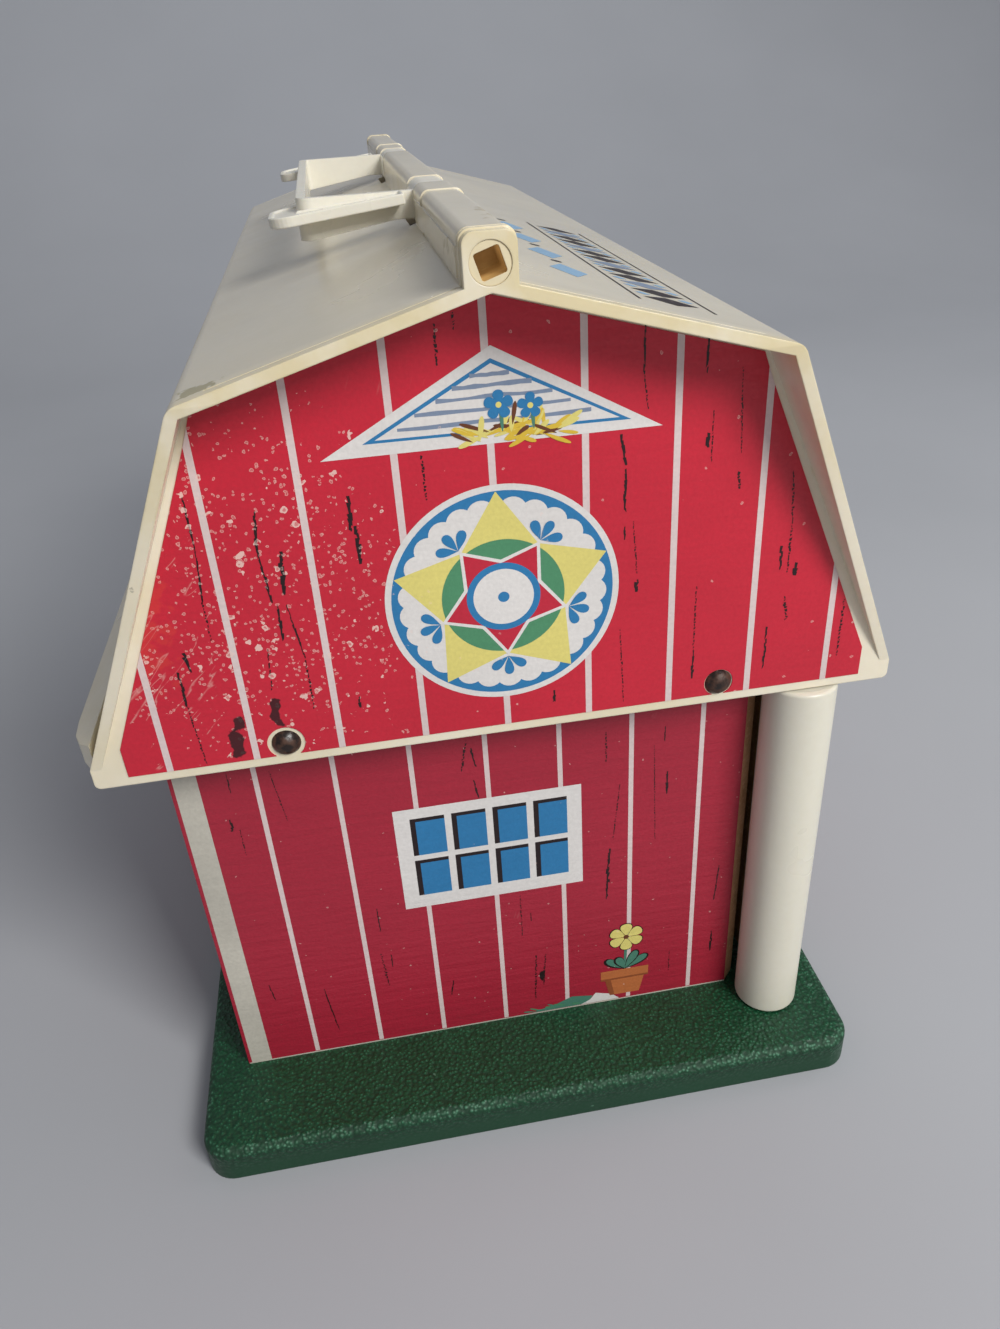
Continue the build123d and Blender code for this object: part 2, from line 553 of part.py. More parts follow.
def near_post_plugs():
    """Turned plugs pressed into the post's ends; the pins run in them."""
    plugs = []
    for z0 in (POST_LOW_Z, POST_TOP_Z - PLUG_L):
        plug = rod(POST_X, -POST_Y, z0, z0 + PLUG_L, POST_BORE_R)
        plugs.append(plug - rod(POST_X, -POST_Y, z0 - PAST, z0 + PLUG_L + PAST, PIN_R + PIN_PLAY))
    return plugs


def lower_pin(side):
    return rod(POST_X, side * POST_Y, PIN_SEAT_Z, POST_LOW_Z + PLUG_L - PIN_SHORT, PIN_R)


def upper_pin(side):
    return rod(POST_X, side * POST_Y, POST_TOP_Z - PLUG_L + PIN_SHORT, UPPER_PIN_TOP_Z, PIN_R)


def near_door_leaf():
    half = LEAF_T / 2
    y0 = -POST_Y + POST_BORE_R + LEAF_BORE_GAP
    leaf = box(POST_X - half, POST_X + half, y0, -DOOR_GAP, DOOR_LOW_Z, DOOR_TOP_Z)
    return leaf - rod_x(-KNOB_Y, KNOB_Z, POST_X - LEAF_T, POST_X + LEAF_T, KNOB_SHANK_R)


def near_door_print():
    """Paper skin on the leaf, from the jaws to just short of the free edge."""
    x0 = POST_X + LEAF_T / 2
    y0, y1 = -POST_Y + JAW_L, -DOOR_GAP - SKIN_INSET
    skin = box(x0, x0 + PRINT_T, y0, y1, DOOR_LOW_Z, DOOR_TOP_Z)
    return skin - rod_x(-KNOB_Y, KNOB_Z, POST_X, POST_X + LEAF_T, KNOB_SHANK_R)


def near_door_knob():
    """Turned knob; its shank goes through the leaf and its washer."""
    face_x = POST_X + LEAF_T / 2 + PRINT_T
    back_x = POST_X - LEAF_T / 2 - KNOB_TAIL
    cap_x = face_x + KNOB_NECK_L
    neck = rod_x(-KNOB_Y, KNOB_Z, face_x, cap_x + LAP, KNOB_NECK_R)
    cap = rod_x(-KNOB_Y, KNOB_Z, cap_x, cap_x + KNOB_T, KNOB_R)
    cap = fillet(cap.edges().filter_by(GeomType.CIRCLE), KNOB_EDGE_R)
    return neck + cap + rod_x(-KNOB_Y, KNOB_Z, back_x, face_x + LAP, KNOB_SHANK_R)


def near_knob_washer():
    x1 = POST_X - LEAF_T / 2
    ring = rod_x(-KNOB_Y, KNOB_Z, x1 - KNOB_WASHER_T, x1, KNOB_WASHER_R)
    return ring - rod_x(-KNOB_Y, KNOB_Z, x1 - 2 * KNOB_WASHER_T, x1 + PAST, KNOB_SHANK_R)


# ---- loft ---------------------------------------------------------------------------------
def loft_floor():
    return box(WALL_IN_X, LOFT_FRONT_X, -WALL_IN_Y, WALL_IN_Y, LOFT_Z, LOFT_Z + LOFT_T)


def loft_cleat():
    """Ledge on the near end wall that carries the loft's end."""
    x1 = LOFT_FRONT_X - LOFT_CLEAT_SHORT
    return box(WALL_IN_X, x1, -WALL_IN_Y, -WALL_IN_Y + LOFT_CLEAT, LOFT_Z - LOFT_CLEAT, LOFT_Z)


def loft_rail():
    """Fence along the loft's open edge."""
    x1 = LOFT_FRONT_X - RAIL_EDGE
    x0 = x1 - RAIL_T
    z0 = LOFT_Z + LOFT_T
    rail = box(x0, x1, -WALL_IN_Y, WALL_IN_Y, z0, z0 + RAIL_FOOT_H)
    board_in = RAIL_T / 6
    for z in (z0 + RAIL_MID_Z, z0 + RAIL_H - RAIL_BOARD_H):
        rail += box(x0 + board_in, x1 - board_in, -WALL_IN_Y, WALL_IN_Y, z, z + RAIL_BOARD_H)
    pitch = (2 * WALL_IN_Y - RAIL_POST_W) / (RAIL_POSTS - 1)
    for i in range(RAIL_POSTS):
        y0 = -WALL_IN_Y + i * pitch
        rail += box(x0, x1, y0, y0 + RAIL_POST_W, z0, z0 + RAIL_H)
    return rail


# ---- write every node ---------------------------------------------------------------------
os.makedirs("parts", exist_ok=True)

save("base_tray", base_tray())
save("base_screws", *base_screws())
save("back_wall", back_wall())
save("back_print", back_print())
save("corner_blocks", *both_ends(corner_block()))
save("wall_cleats", *both_ends(wall_cleat()))
save("roof_shell", whole_roof())
save("gable_rivets", *both_ends(rivet(-RIVET_X)), *both_ends(rivet(RIVET_X)))
save("rivet_washers", *both_ends(rivet_washer(-RIVET_X)), *both_ends(rivet_washer(RIVET_X)))
save("handle_axle", handle_axle())
save("carry_handle", carry_handle())
save("lower_pins", lower_pin(-1), lower_pin(1))
save("upper_pins", upper_pin(-1), upper_pin(1))
save("loft_floor", loft_floor())
save("loft_cleats", *both_ends(loft_cleat()))
save("loft_rail", loft_rail())

END_PARTS = {
    "end_wall": near_end_wall(),
    "end_print": near_end_print(),
    "gable_print": near_gable_print(),
    "door_post": near_door_post(),
    "door_leaf": near_door_leaf(),
    "door_print": near_door_print(),
    "door_knob": near_door_knob(),
    "knob_washer": near_knob_washer(),
}
for name, solid in END_PARTS.items():
    near, far = both_ends(solid)
    save(f"near_{name}", near)
    save(f"far_{name}", far)

near_plugs = near_post_plugs()
save("near_post_plugs", *near_plugs)
save("far_post_plugs", *[mirror(p, about=Plane.XZ) for p in near_plugs])
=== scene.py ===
# %% [markdown]
# # A toy barn with opening doors
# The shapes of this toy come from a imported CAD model, and this notebook dresses them. The real
# barn is a green moulded base, board walls covered with printed paper, and an ivory moulded
# roof with a folding handle. Each cell makes one piece or one finish, and says why it is made
# that way. Lengths in the cells are in millimetres, and MM turns them into Blender's metres.

# %% Load the frame
import math
import random

import bmesh
import bpy
from mathutils import Matrix, Vector


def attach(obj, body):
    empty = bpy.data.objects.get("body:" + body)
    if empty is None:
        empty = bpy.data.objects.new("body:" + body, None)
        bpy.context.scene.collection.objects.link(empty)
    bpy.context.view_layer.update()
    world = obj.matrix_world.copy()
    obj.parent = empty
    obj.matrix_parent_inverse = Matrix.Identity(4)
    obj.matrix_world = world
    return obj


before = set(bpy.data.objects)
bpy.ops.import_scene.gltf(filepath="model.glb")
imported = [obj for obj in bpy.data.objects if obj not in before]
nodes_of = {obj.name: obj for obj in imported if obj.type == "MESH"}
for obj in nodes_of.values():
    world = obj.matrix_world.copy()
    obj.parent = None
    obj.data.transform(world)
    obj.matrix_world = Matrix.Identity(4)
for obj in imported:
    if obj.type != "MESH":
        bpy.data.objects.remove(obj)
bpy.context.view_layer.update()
MM = 0.001

# %% [markdown]
# ## Camera
# The picture was taken from above the near end, a little left of the ridge, so the verticals
# lean and the far end shrinks. A camera is an eye, a direction and a lens. The three axes
# below were solved from straight edges of the toy, and the lens is given for a picture whose
# longer side stands upright.

# %% Camera
EYE = Vector((-28.07, -356.44, 282.05)) * MM
TO_RIGHT = Vector((0.98483, -0.16387, -0.05714))
TO_FLOOR = Vector((-0.13331, -0.50355, -0.85362))
AHEAD = Vector((0.11111, 0.84828, -0.51776))

FOCAL_PIXELS, PICTURE_TALL, SENSOR = 992.6, 1329, 36.0

lens = bpy.data.cameras.new("camera")
lens.sensor_width = SENSOR
lens.lens = FOCAL_PIXELS / PICTURE_TALL * SENSOR
lens.clip_start = 0.01
camera = bpy.data.objects.new("camera", lens)
turn = Matrix((TO_RIGHT, -TO_FLOOR, -AHEAD)).transposed().to_4x4()
camera.matrix_world = Matrix.Translation(EYE) @ turn
bpy.context.scene.collection.objects.link(camera)
bpy.context.scene.camera = camera
print("lens", round(lens.lens, 2), "mm")

# %% [markdown]
# ## Colours
# Colours are easier to read as the hex codes of a paint chart, but a shader adds and mixes
# light, so it wants linear values. One helper turns the first into the second.


# %% Colour helper
def paint(code):
    """A hex colour as the linear red, green, blue and alpha that a shader wants."""
    parts = [int(code[i : i + 2], 16) / 255 for i in (1, 3, 5)]
    linear = [p / 12.92 if p <= 0.04045 else ((p + 0.055) / 1.055) ** 2.4 for p in parts]
    return (*linear, 1.0)


print("ivory is", [round(x, 3) for x in paint("#E6DEC4")])

# %% [markdown]
# ## Node helpers
# A material is a small graph. Writing it node by node is long, so one helper adds a node,
# sets it up and feeds its inputs, either with a value or with another node's output. A second
# helper opens a node group, which is an effect with named inputs and outputs that several
# materials can share.


# %% Node helpers
def node(tree, kind, feeds=None, **settings):
    """Adds a node, sets its properties, and feeds its inputs with values or sockets."""
    made = tree.nodes.new(kind)
    for key, value in settings.items():
        setattr(made, key, value)
    for key, value in (feeds or {}).items():
        if isinstance(value, bpy.types.NodeSocket):
            tree.links.new(value, made.inputs[key])
        else:
            made.inputs[key].default_value = value
    return made


def sums(tree, how, first, second=0.5, third=0.5):
    """A Math node's result."""
    return node(tree, "ShaderNodeMath", {0: first, 1: second, 2: third}, operation=how).outputs[0]


def vectors(tree, how, *terms):
    """A Vector Math node from its terms."""
    return node(tree, "ShaderNodeVectorMath", dict(enumerate(terms)), operation=how)


def noise(tree, place, scale, detail):
    """A Noise Texture node."""
    return node(tree, "ShaderNodeTexNoise", {"Vector": place, "Scale": scale, "Detail": detail})


def axis_of(tree, vector, letter):
    """One of a vector's X, Y and Z."""
    return node(tree, "ShaderNodeSeparateXYZ", {0: vector}).outputs[letter]


def spread(tree, value, low, high, to_low=0.0, to_high=1.0):
    """A value from low..high, stretched and clamped to to_low..to_high."""
    feeds = {0: value, 1: low, 2: high, 3: to_low, 4: to_high}
    return node(tree, "ShaderNodeMapRange", feeds).outputs[0]


def blend(tree, share, first, second):
    """Two colours mixed by a share."""
    return node(tree, "ShaderNodeMix", {0: share, 6: first, 7: second}, data_type="RGBA").outputs[2]


def open_group(name, takes, gives):
    """A node group with its named sockets, and its input and output nodes."""
    tree = bpy.data.node_groups.new(name, "ShaderNodeTree")
    for label, kind, start in takes:
        socket = tree.interface.new_socket(label, in_out="INPUT", socket_type="NodeSocket" + kind)
        if start is not None:
            socket.default_value = start
    for label, kind in gives:
        tree.interface.new_socket(label, in_out="OUTPUT", socket_type="NodeSocket" + kind)
    return tree, node(tree, "NodeGroupInput"), node(tree, "NodeGroupOutput")


def use(tree, group, feeds):
    """The mask of a group that is placed in a material with its own values."""
    return node(tree, "ShaderNodeGroup", feeds, node_tree=bpy.data.node_groups[group]).outputs[0]


# %% [markdown]
# ## Shared effects
# Old plastic and paper aren't one flat colour. They are mottled, rubbed pale along their
# edges, scratched and flecked. Each of these is a mask, a number from 0 to 1 that says how
# strongly it shows at a point, so each becomes a group that any finish can use.

# %% Mottle: soft clouds that age plastic and paper
tree, given, result = open_group(
    "mottle",
    [("Place", "Vector", None), ("Scale", "Float", 40.0), ("Low", "Float", 0.4), ("High", "Float", 0.65)],
    [("Mask", "Float")],
)
clouds = noise(tree, given.outputs["Place"], given.outputs["Scale"], 4.0)
mask = spread(tree, clouds.outputs["Fac"], given.outputs["Low"], given.outputs["High"])
tree.links.new(mask, result.inputs["Mask"])

# %% Scratches: thin, long, broken lines
tree, given, result = open_group(
    "scratches",
    [
        ("Place", "Vector", None), ("Stretch", "Vector", (160.0, 160.0, 9.0)), ("Turn", "Float", 0.0),
        ("Amount", "Float", 0.3)
    ],
    [("Mask", "Float")],
)
turned = node(
    tree, "ShaderNodeVectorRotate", {"Vector": given.outputs["Place"], "Angle": given.outputs["Turn"]},
    rotation_type="Y_AXIS"
)
drawn_out = vectors(tree, "MULTIPLY", turned.outputs[0], given.outputs["Stretch"])
lines = noise(tree, drawn_out.outputs[0], 1.0, 2.0)
off_middle = sums(tree, "ABSOLUTE", sums(tree, "SUBTRACT", lines.outputs["Fac"], 0.5))
hair = spread(tree, off_middle, 0.0, 0.012, 1.0, 0.0)
where = noise(tree, given.outputs["Place"], 55.0, 2.0)
edge = sums(tree, "SUBTRACT", 0.8, sums(tree, "MULTIPLY", given.outputs["Amount"], 0.5))
here = spread(tree, where.outputs["Fac"], edge, sums(tree, "ADD", edge, 0.06))
tree.links.new(sums(tree, "MULTIPLY", hair, here), result.inputs["Mask"])

# %% Flecks: small chips where the print has come off
tree, given, result = open_group(
    "flecks", [("Place", "Vector", None), ("Size", "Float", 1.2), ("Amount", "Float", 0.1)],
    [("Mask", "Float")],
)
jitter = noise(tree, given.outputs["Place"], 900.0, 2.0)
shifted = vectors(
    tree, "MULTIPLY_ADD", jitter.outputs["Color"], (0.0011, 0.0011, 0.0011), given.outputs["Place"]
)
per_metre = sums(tree, "DIVIDE", 1000.0, sums(tree, "MULTIPLY", given.outputs["Size"], 2.4))
cells = node(tree, "ShaderNodeTexVoronoi", {"Vector": shifted.outputs[0], "Scale": per_metre})
lot = node(tree, "ShaderNodeSeparateColor", {"Color": cells.outputs["Color"]})
chosen = sums(tree, "LESS_THAN", lot.outputs[0], given.outputs["Amount"])
reach = sums(tree, "MULTIPLY_ADD", lot.outputs[1], 0.34, 0.08)
inside = sums(tree, "LESS_THAN", cells.outputs["Distance"], reach)
core = sums(tree, "LESS_THAN", cells.outputs["Distance"], sums(tree, "MULTIPLY", reach, 0.58))
ring = sums(tree, "SUBTRACT", inside, sums(tree, "MULTIPLY", core, 0.6))
tree.links.new(sums(tree, "MULTIPLY", chosen, ring), result.inputs["Mask"])

# %% Rub: a mask along convex edges, where hands and floors wear a toy
tree, given, result = open_group(
    "rub", [("Place", "Vector", None), ("Radius", "Float", 0.0012), ("Break up", "Float", 0.5)],
    [("Mask", "Float")],
)
rounded = node(tree, "ShaderNodeBevel", {"Radius": given.outputs["Radius"]}, samples=4)
true_face = node(tree, "ShaderNodeNewGeometry")
alike = vectors(tree, "DOT_PRODUCT", rounded.outputs[0], true_face.outputs["Normal"])
edge = spread(tree, alike.outputs["Value"], 0.995, 0.9)
patchy = noise(tree, given.outputs["Place"], 140.0, 4.0)
kept = spread(
    tree, patchy.outputs["Fac"], given.outputs["Break up"],
    sums(tree, "ADD", given.outputs["Break up"], 0.12)
)
tree.links.new(sums(tree, "MULTIPLY", edge, kept), result.inputs["Mask"])

# %% Pebbles: the leather-like grain of the green base
tree, given, result = open_group(
    "pebbles", [("Place", "Vector", None), ("Size", "Float", 1.1)], [("Height", "Float")],
)
wobble = noise(tree, given.outputs["Place"], 420.0, 2.0)
moved = vectors(
    tree, "MULTIPLY_ADD", wobble.outputs["Color"], (0.0009, 0.0009, 0.0009), given.outputs["Place"]
)
per_metre = sums(tree, "DIVIDE", 1000.0, given.outputs["Size"])
cells = node(
    tree, "ShaderNodeTexVoronoi", {"Vector": moved.outputs[0], "Scale": per_metre, "Smoothness": 0.45},
    feature="SMOOTH_F1"
)
tree.links.new(spread(tree, cells.outputs["Distance"], 0.1, 0.75, 1.0, 0.0), result.inputs["Height"])

# %% Stain: one soft-edged mark at a chosen place
tree, given, result = open_group(
    "stain",
    [
        ("Place", "Vector", None), ("Middle", "Vector", (0, 0, 0)), ("Size", "Vector", (0.01, 0.01, 0.01)),
        ("Ragged", "Float", 0.6)
    ],
    [("Mask", "Float")],
)
away = vectors(tree, "SUBTRACT", given.outputs["Place"], given.outputs["Middle"])
scaled = vectors(tree, "DIVIDE", away.outputs[0], given.outputs["Size"])
far = vectors(tree, "LENGTH", scaled.outputs[0])
rough_edge = noise(tree, given.outputs["Place"], 260.0, 3.0)
push = sums(
    tree, "MULTIPLY", sums(tree, "SUBTRACT", rough_edge.outputs["Fac"], 0.5),
    sums(tree, "MULTIPLY", given.outputs["Ragged"], 4.0)
)
tree.links.new(spread(tree, sums(tree, "ADD", far.outputs["Value"], push), 1.0, 0.75), result.inputs["Mask"])
print("groups:", sorted(g.name for g in bpy.data.node_groups))

# %% [markdown]
# ## Starting a finish
# Every finish here is a Principled BSDF with a bump node in front of its normal. The Bevel
# node rounds the shading of hard CAD edges by a fraction of a millimetre, so that they catch
# light as moulded edges do, without one more face in the mesh.


# %% Finish starter
def start_finish(name, edge_radius):
    """An empty finish: its tree, its shader, its place on the object, and its soft-edged normal."""
    made = bpy.data.materials.new(name)
    made.use_nodes = True
    tree = made.node_tree
    shader = tree.nodes["Principled BSDF"]
    place = node(tree, "ShaderNodeTexCoord").outputs["Object"]
    soft = node(tree, "ShaderNodeBevel", {"Radius": edge_radius * MM}, samples=6).outputs[0]
    return made, tree, shader, place, soft


def finish_bump(tree, shader, height, soft, deep):
    """Feeds a height into the shader's normal; deep is its depth in millimetres."""
    feeds = {"Height": height, "Normal": soft, "Distance": deep * MM, "Strength": 1.0}
    bump = node(tree, "ShaderNodeBump", feeds)
    tree.links.new(bump.outputs[0], shader.inputs["Normal"])


# %% [markdown]
# ## Ivory plastic
# The roof, the handle and the door posts are the same kind of moulded plastic, aged by
# different amounts. The colour goes from a clean ivory to a yellowed one where clouds of age
# lie, and a darker grime sits in thin scratches. The near rim has yellowed most. The roof's
# upward faces are greyed by a painted reflection of the backdrop.


# %% Ivory plastic
def ivory_plastic(name, clean, aged, age, rough, rim=False, edge=0.4, hairs=0.2):
    """Aged plastic: age is how far it has yellowed, and rim is for the roof, with its yellowed near rim and a
    painted grey reflection on its upward faces.
    """
    made, tree, shader, place, soft = start_finish(name, edge)
    old = use(tree, "mottle", {"Place": place, "Scale": 22.0, "Low": 0.62 - 0.3 * age, "High": 0.85})
    if rim:
        along = axis_of(tree, place, "Y")
        near = spread(tree, along, -0.158, -0.1655)
        speckled = use(tree, "mottle", {"Place": place, "Scale": 60.0, "Low": 0.3, "High": 0.6})
        old = sums(tree, "MAXIMUM", old, sums(tree, "MULTIPLY", near, speckled))
    colour = blend(tree, old, paint(clean), paint(aged))
    if rim:
        # Painted reflection: the roof's upward faces, away from the near rim, go three quarters of the way to
        # a cool grey, as if mirroring the backdrop.
        facing = node(tree, "ShaderNodeTexCoord").outputs["Normal"]
        upward = spread(tree, axis_of(tree, facing, "Z"), 0.8, 0.95)
        backdrop_reflection = sums(tree, "MULTIPLY", upward, sums(tree, "SUBTRACT", 1.0, near))
        colour = blend(tree, sums(tree, "MULTIPLY", backdrop_reflection, 0.75), colour, paint("#CBC5B6"))
    fine = use(tree, "mottle", {"Place": place, "Scale": 480.0, "Low": 0.25, "High": 0.8})
    colour = blend(tree, sums(tree, "MULTIPLY", fine, 0.08), colour, paint("#B9AE8E"))
    lines = use(tree, "scratches", {"Place": place, "Amount": 0.12, "Turn": 0.15})
    colour = blend(tree, sums(tree, "MULTIPLY", lines, hairs), colour, paint("#9A9078"))
    worn = use(tree, "rub", {"Place": place, "Radius": 0.0009, "Break up": 0.5})
    colour = blend(tree, sums(tree, "MULTIPLY", worn, 0.8 * age), colour, paint("#CDBE90"))
    tree.links.new(colour, shader.inputs["Base Color"])
    handled = use(tree, "mottle", {"Place": place, "Scale": 18.0, "Low": 0.3, "High": 0.7})
    gloss = spread(tree, handled, 0.0, 1.0, rough - 0.02, rough + 0.09)
    tree.links.new(gloss, shader.inputs["Roughness"])
    shader.inputs["Subsurface Weight"].default_value = 0.08
    shader.inputs["Subsurface Radius"].default_value = (0.004, 0.003, 0.0015)
    shader.inputs["Subsurface Scale"].default_value = 0.6
    wavy = noise(tree, place, 30.0, 1.0).outputs["Fac"]
    finish_bump(tree, shader, wavy, soft, 0.22)
    return made


roof_ivory = ivory_plastic("roof_ivory", "#EAE1CB", "#DED0A9", age=0.45, rough=0.2, rim=True)
post_ivory = ivory_plastic("post_ivory", "#DEDACA", "#D0C8AC", age=0.2, rough=0.28, hairs=0.04)
handle_ivory = ivory_plastic("handle_ivory", "#EAE6D8", "#DED6BD", age=0.15, rough=0.25, edge=0.5, hairs=0.06)
knob_ivory = ivory_plastic("knob_ivory", "#E6DFCB", "#D2C59E", age=0.3, rough=0.35)

# %% [markdown]
# ## Marks on the roof
# The left slope has an olive rub near the rim and a dark nick on the rim's outer edge. A mark
# that sits in one place is a stain group, laid over the finished colour.


# %% Marks on the roof
def lay_stain(made, middle, size, colour, strength=1.0, ragged=0.6):
    """Mixes one stain over whatever colour the material already has."""
    tree = made.node_tree
    socket = tree.nodes["Principled BSDF"].inputs["Base Color"]
    under = socket.links[0].from_socket
    place = node(tree, "ShaderNodeTexCoord").outputs["Object"]
    feeds = {
        "Place": place, "Middle": [m * MM for m in middle], "Size": [s * MM for s in size], "Ragged": ragged
    }
    share = sums(tree, "MULTIPLY", use(tree, "stain", feeds), strength)
    tree.links.new(blend(tree, share, under, paint(colour)), socket)


lay_stain(roof_ivory, (-58.0, -160.0, 232.0), (5.0, 3.0, 2.0), "#8C8350", 0.7, 0.9)
lay_stain(roof_ivory, (-79.4, -164.5, 190.4), (1.7, 4.0, 3.2), "#2B2620", 0.95, 0.9)
lay_stain(roof_ivory, (-81.2, -164.5, 185.4), (1.2, 3.0, 1.8), "#4A3F30", 0.85, 0.9)
lay_stain(roof_ivory, (-7.5, -150.0, 252.0), (2.0, 10.0, 3.0), "#8A7648", 0.4, 0.9)
lay_stain(roof_ivory, (5.5, -138.0, 257.0), (3.0, 12.0, 2.0), "#8A7648", 0.35, 1.0)

# %% [markdown]
# ## Green base
# The base's top has the pebbled grain of imitation leather, which fades out down the sides.
# The height above the floor says where it fades. The object's own normal says where the top
# rolls over into the side, and there the grain's peaks are rubbed pale. The grain's valleys
# carry painted shade and its crests a painted highlight, and the steep sides are darkened
# with painted shade.

# %% Green base
green_base, tree, shader, place, soft = start_finish("green_base", 0.6)
facing = node(tree, "ShaderNodeTexCoord").outputs["Normal"]
tilt = axis_of(tree, facing, "Z")
above = axis_of(tree, place, "Z")
grained = spread(tree, above, 0.004, 0.009)
grain = use(tree, "pebbles", {"Place": place, "Size": 1.2})
clouds = use(tree, "mottle", {"Place": place, "Scale": 30.0, "Low": 0.3, "High": 0.75})
colour = blend(tree, clouds, paint("#0B4025"), paint("#104A2D"))
# Painted shade: the grain's valleys are darkened towards a near-black green.
valley_shade = sums(tree, "MULTIPLY", grained, spread(tree, grain, 0.5, 0.1, 0.0, 0.55))
colour = blend(tree, valley_shade, colour, paint("#052313"))
# Painted highlight: the grain's crests are lightened as if they caught the light.
crest_highlight = sums(tree, "MULTIPLY", grained, spread(tree, grain, 0.72, 0.95, 0.0, 0.42))
colour = blend(tree, crest_highlight, colour, paint("#3F8A66"))
# Painted shade: faces that turn away from the top are darkened towards a deep green.
colour = blend(tree, spread(tree, tilt, 0.5, 0.1, 0.0, 0.35), colour, paint("#062A18"))
roll = sums(tree, "MULTIPLY", spread(tree, tilt, 0.25, 0.5), spread(tree, tilt, 0.99, 0.9))
patches = use(tree, "mottle", {"Place": place, "Scale": 75.0, "Low": 0.35, "High": 0.6})
peaks = spread(tree, grain, 0.45, 0.8)
worn = sums(tree, "MULTIPLY", sums(tree, "MULTIPLY", roll, patches), peaks)
chips = use(
    tree, "flecks", {"Place": place, "Size": 0.7, "Amount": sums(tree, "MULTIPLY_ADD", roll, 0.06, 0.006)}
)
colour = blend(tree, sums(tree, "MULTIPLY", worn, 0.3), colour, paint("#6FA386"))
colour = blend(tree, sums(tree, "MULTIPLY", chips, 0.35), colour, paint("#7FB196"))
tree.links.new(colour, shader.inputs["Base Color"])
glossy = spread(tree, grain, 0.0, 1.0, 0.52, 0.34)
tree.links.new(sums(tree, "MULTIPLY_ADD", roll, 0.18, glossy), shader.inputs["Roughness"])
fine = use(tree, "mottle", {"Place": place, "Scale": 600.0, "Low": 0.2, "High": 0.8})
height = sums(tree, "ADD", sums(tree, "MULTIPLY", grain, grained), sums(tree, "MULTIPLY", fine, 0.12))
finish_bump(tree, shader, height, soft, 0.3)

# %% [markdown]
# ## Printed paper
# All the printing is ink on one glossy paper, so every ink is the same finish with another
# colour. Wear doesn't stop at the edge of a colour: because each ink reads the same place on
# the object, the same flecks and scratches run across all of them. The near gable's left
# part is the most battered.


# %% Printed paper
def printed(name, code, wear=1.0, tone=0.12, crease=0.15):
    """Ink of one colour on worn paper: tone is how dark its clouds are, crease how deep it wrinkles."""
    made, tree, shader, place, soft = start_finish(name, 0.1)
    clouds = use(tree, "mottle", {"Place": place, "Scale": 26.0, "Low": 0.3, "High": 0.75})
    dots = use(tree, "mottle", {"Place": place, "Scale": 1000.0, "Low": 0.3, "High": 0.7})
    dark = [c * (1 - tone) for c in paint(code)[:3]] + [1.0]
    colour = blend(tree, clouds, paint(code), dark)
    colour = blend(tree, sums(tree, "MULTIPLY", dots, 0.24), colour, [c * 0.68 for c in dark[:3]] + [1.0])
    feeds = {"Place": place, "Middle": (-0.058, -0.151, 0.184), "Size": (0.036, 0.02, 0.046), "Ragged": 0.5}
    battered = use(tree, "stain", feeds)
    clumps = use(tree, "mottle", {"Place": place, "Scale": 75.0, "Low": 0.44, "High": 0.6})
    share = spread(tree, battered, 0.0, 1.0, 0.012, 0.55)
    thick = sums(tree, "MULTIPLY", battered, spread(tree, clumps, 0.0, 1.0, 0.04, 0.42))
    big = use(tree, "flecks", {"Place": place, "Size": 1.7, "Amount": sums(tree, "MULTIPLY", thick, 0.5)})
    middling = use(
        tree, "flecks", {"Place": place, "Size": 0.95, "Amount": sums(tree, "MULTIPLY", thick, 0.85)}
    )
    small = use(tree, "flecks", {"Place": place, "Size": 0.42, "Amount": share})
    feeds = {"Place": place, "Middle": (-0.080, -0.151, 0.172), "Size": (0.014, 0.02, 0.022), "Ragged": 0.9}
    corner = use(tree, "stain", feeds)
    hatched = use(
        tree, "scratches", {"Place": place, "Stretch": (230.0, 230.0, 34.0), "Turn": -0.8, "Amount": 1.0}
    )
    hairs = use(tree, "scratches", {"Place": place, "Turn": -0.3, "Amount": 0.15})
    scraped = sums(
        tree, "ADD", sums(tree, "MULTIPLY", sums(tree, "MULTIPLY", hatched, corner), 0.4),
        sums(tree, "MULTIPLY", hairs, 0.25)
    )
    dust = sums(tree, "MAXIMUM", scraped, sums(tree, "MULTIPLY", small, 0.6))
    chips = sums(tree, "MAXIMUM", sums(tree, "MAXIMUM", big, middling), dust)
    colour = blend(tree, sums(tree, "MULTIPLY", chips, 0.8 * wear), colour, paint("#EBCBC0"))
    tree.links.new(colour, shader.inputs["Base Color"])
    tree.links.new(spread(tree, dots, 0.0, 1.0, 0.36, 0.5), shader.inputs["Roughness"])
    flat = vectors(tree, "MULTIPLY", place, (60.0, 60.0, 420.0))
    creases = noise(tree, flat.outputs[0], 1.0, 3.0).outputs["Fac"]
    height = sums(tree, "ADD", creases, sums(tree, "MULTIPLY", dots, 0.15))
    finish_bump(tree, shader, sums(tree, "ADD", height, sums(tree, "MULTIPLY", big, 0.3)), soft, crease)
    return made


gable_paper = printed("gable_paper", "#CC1F36")
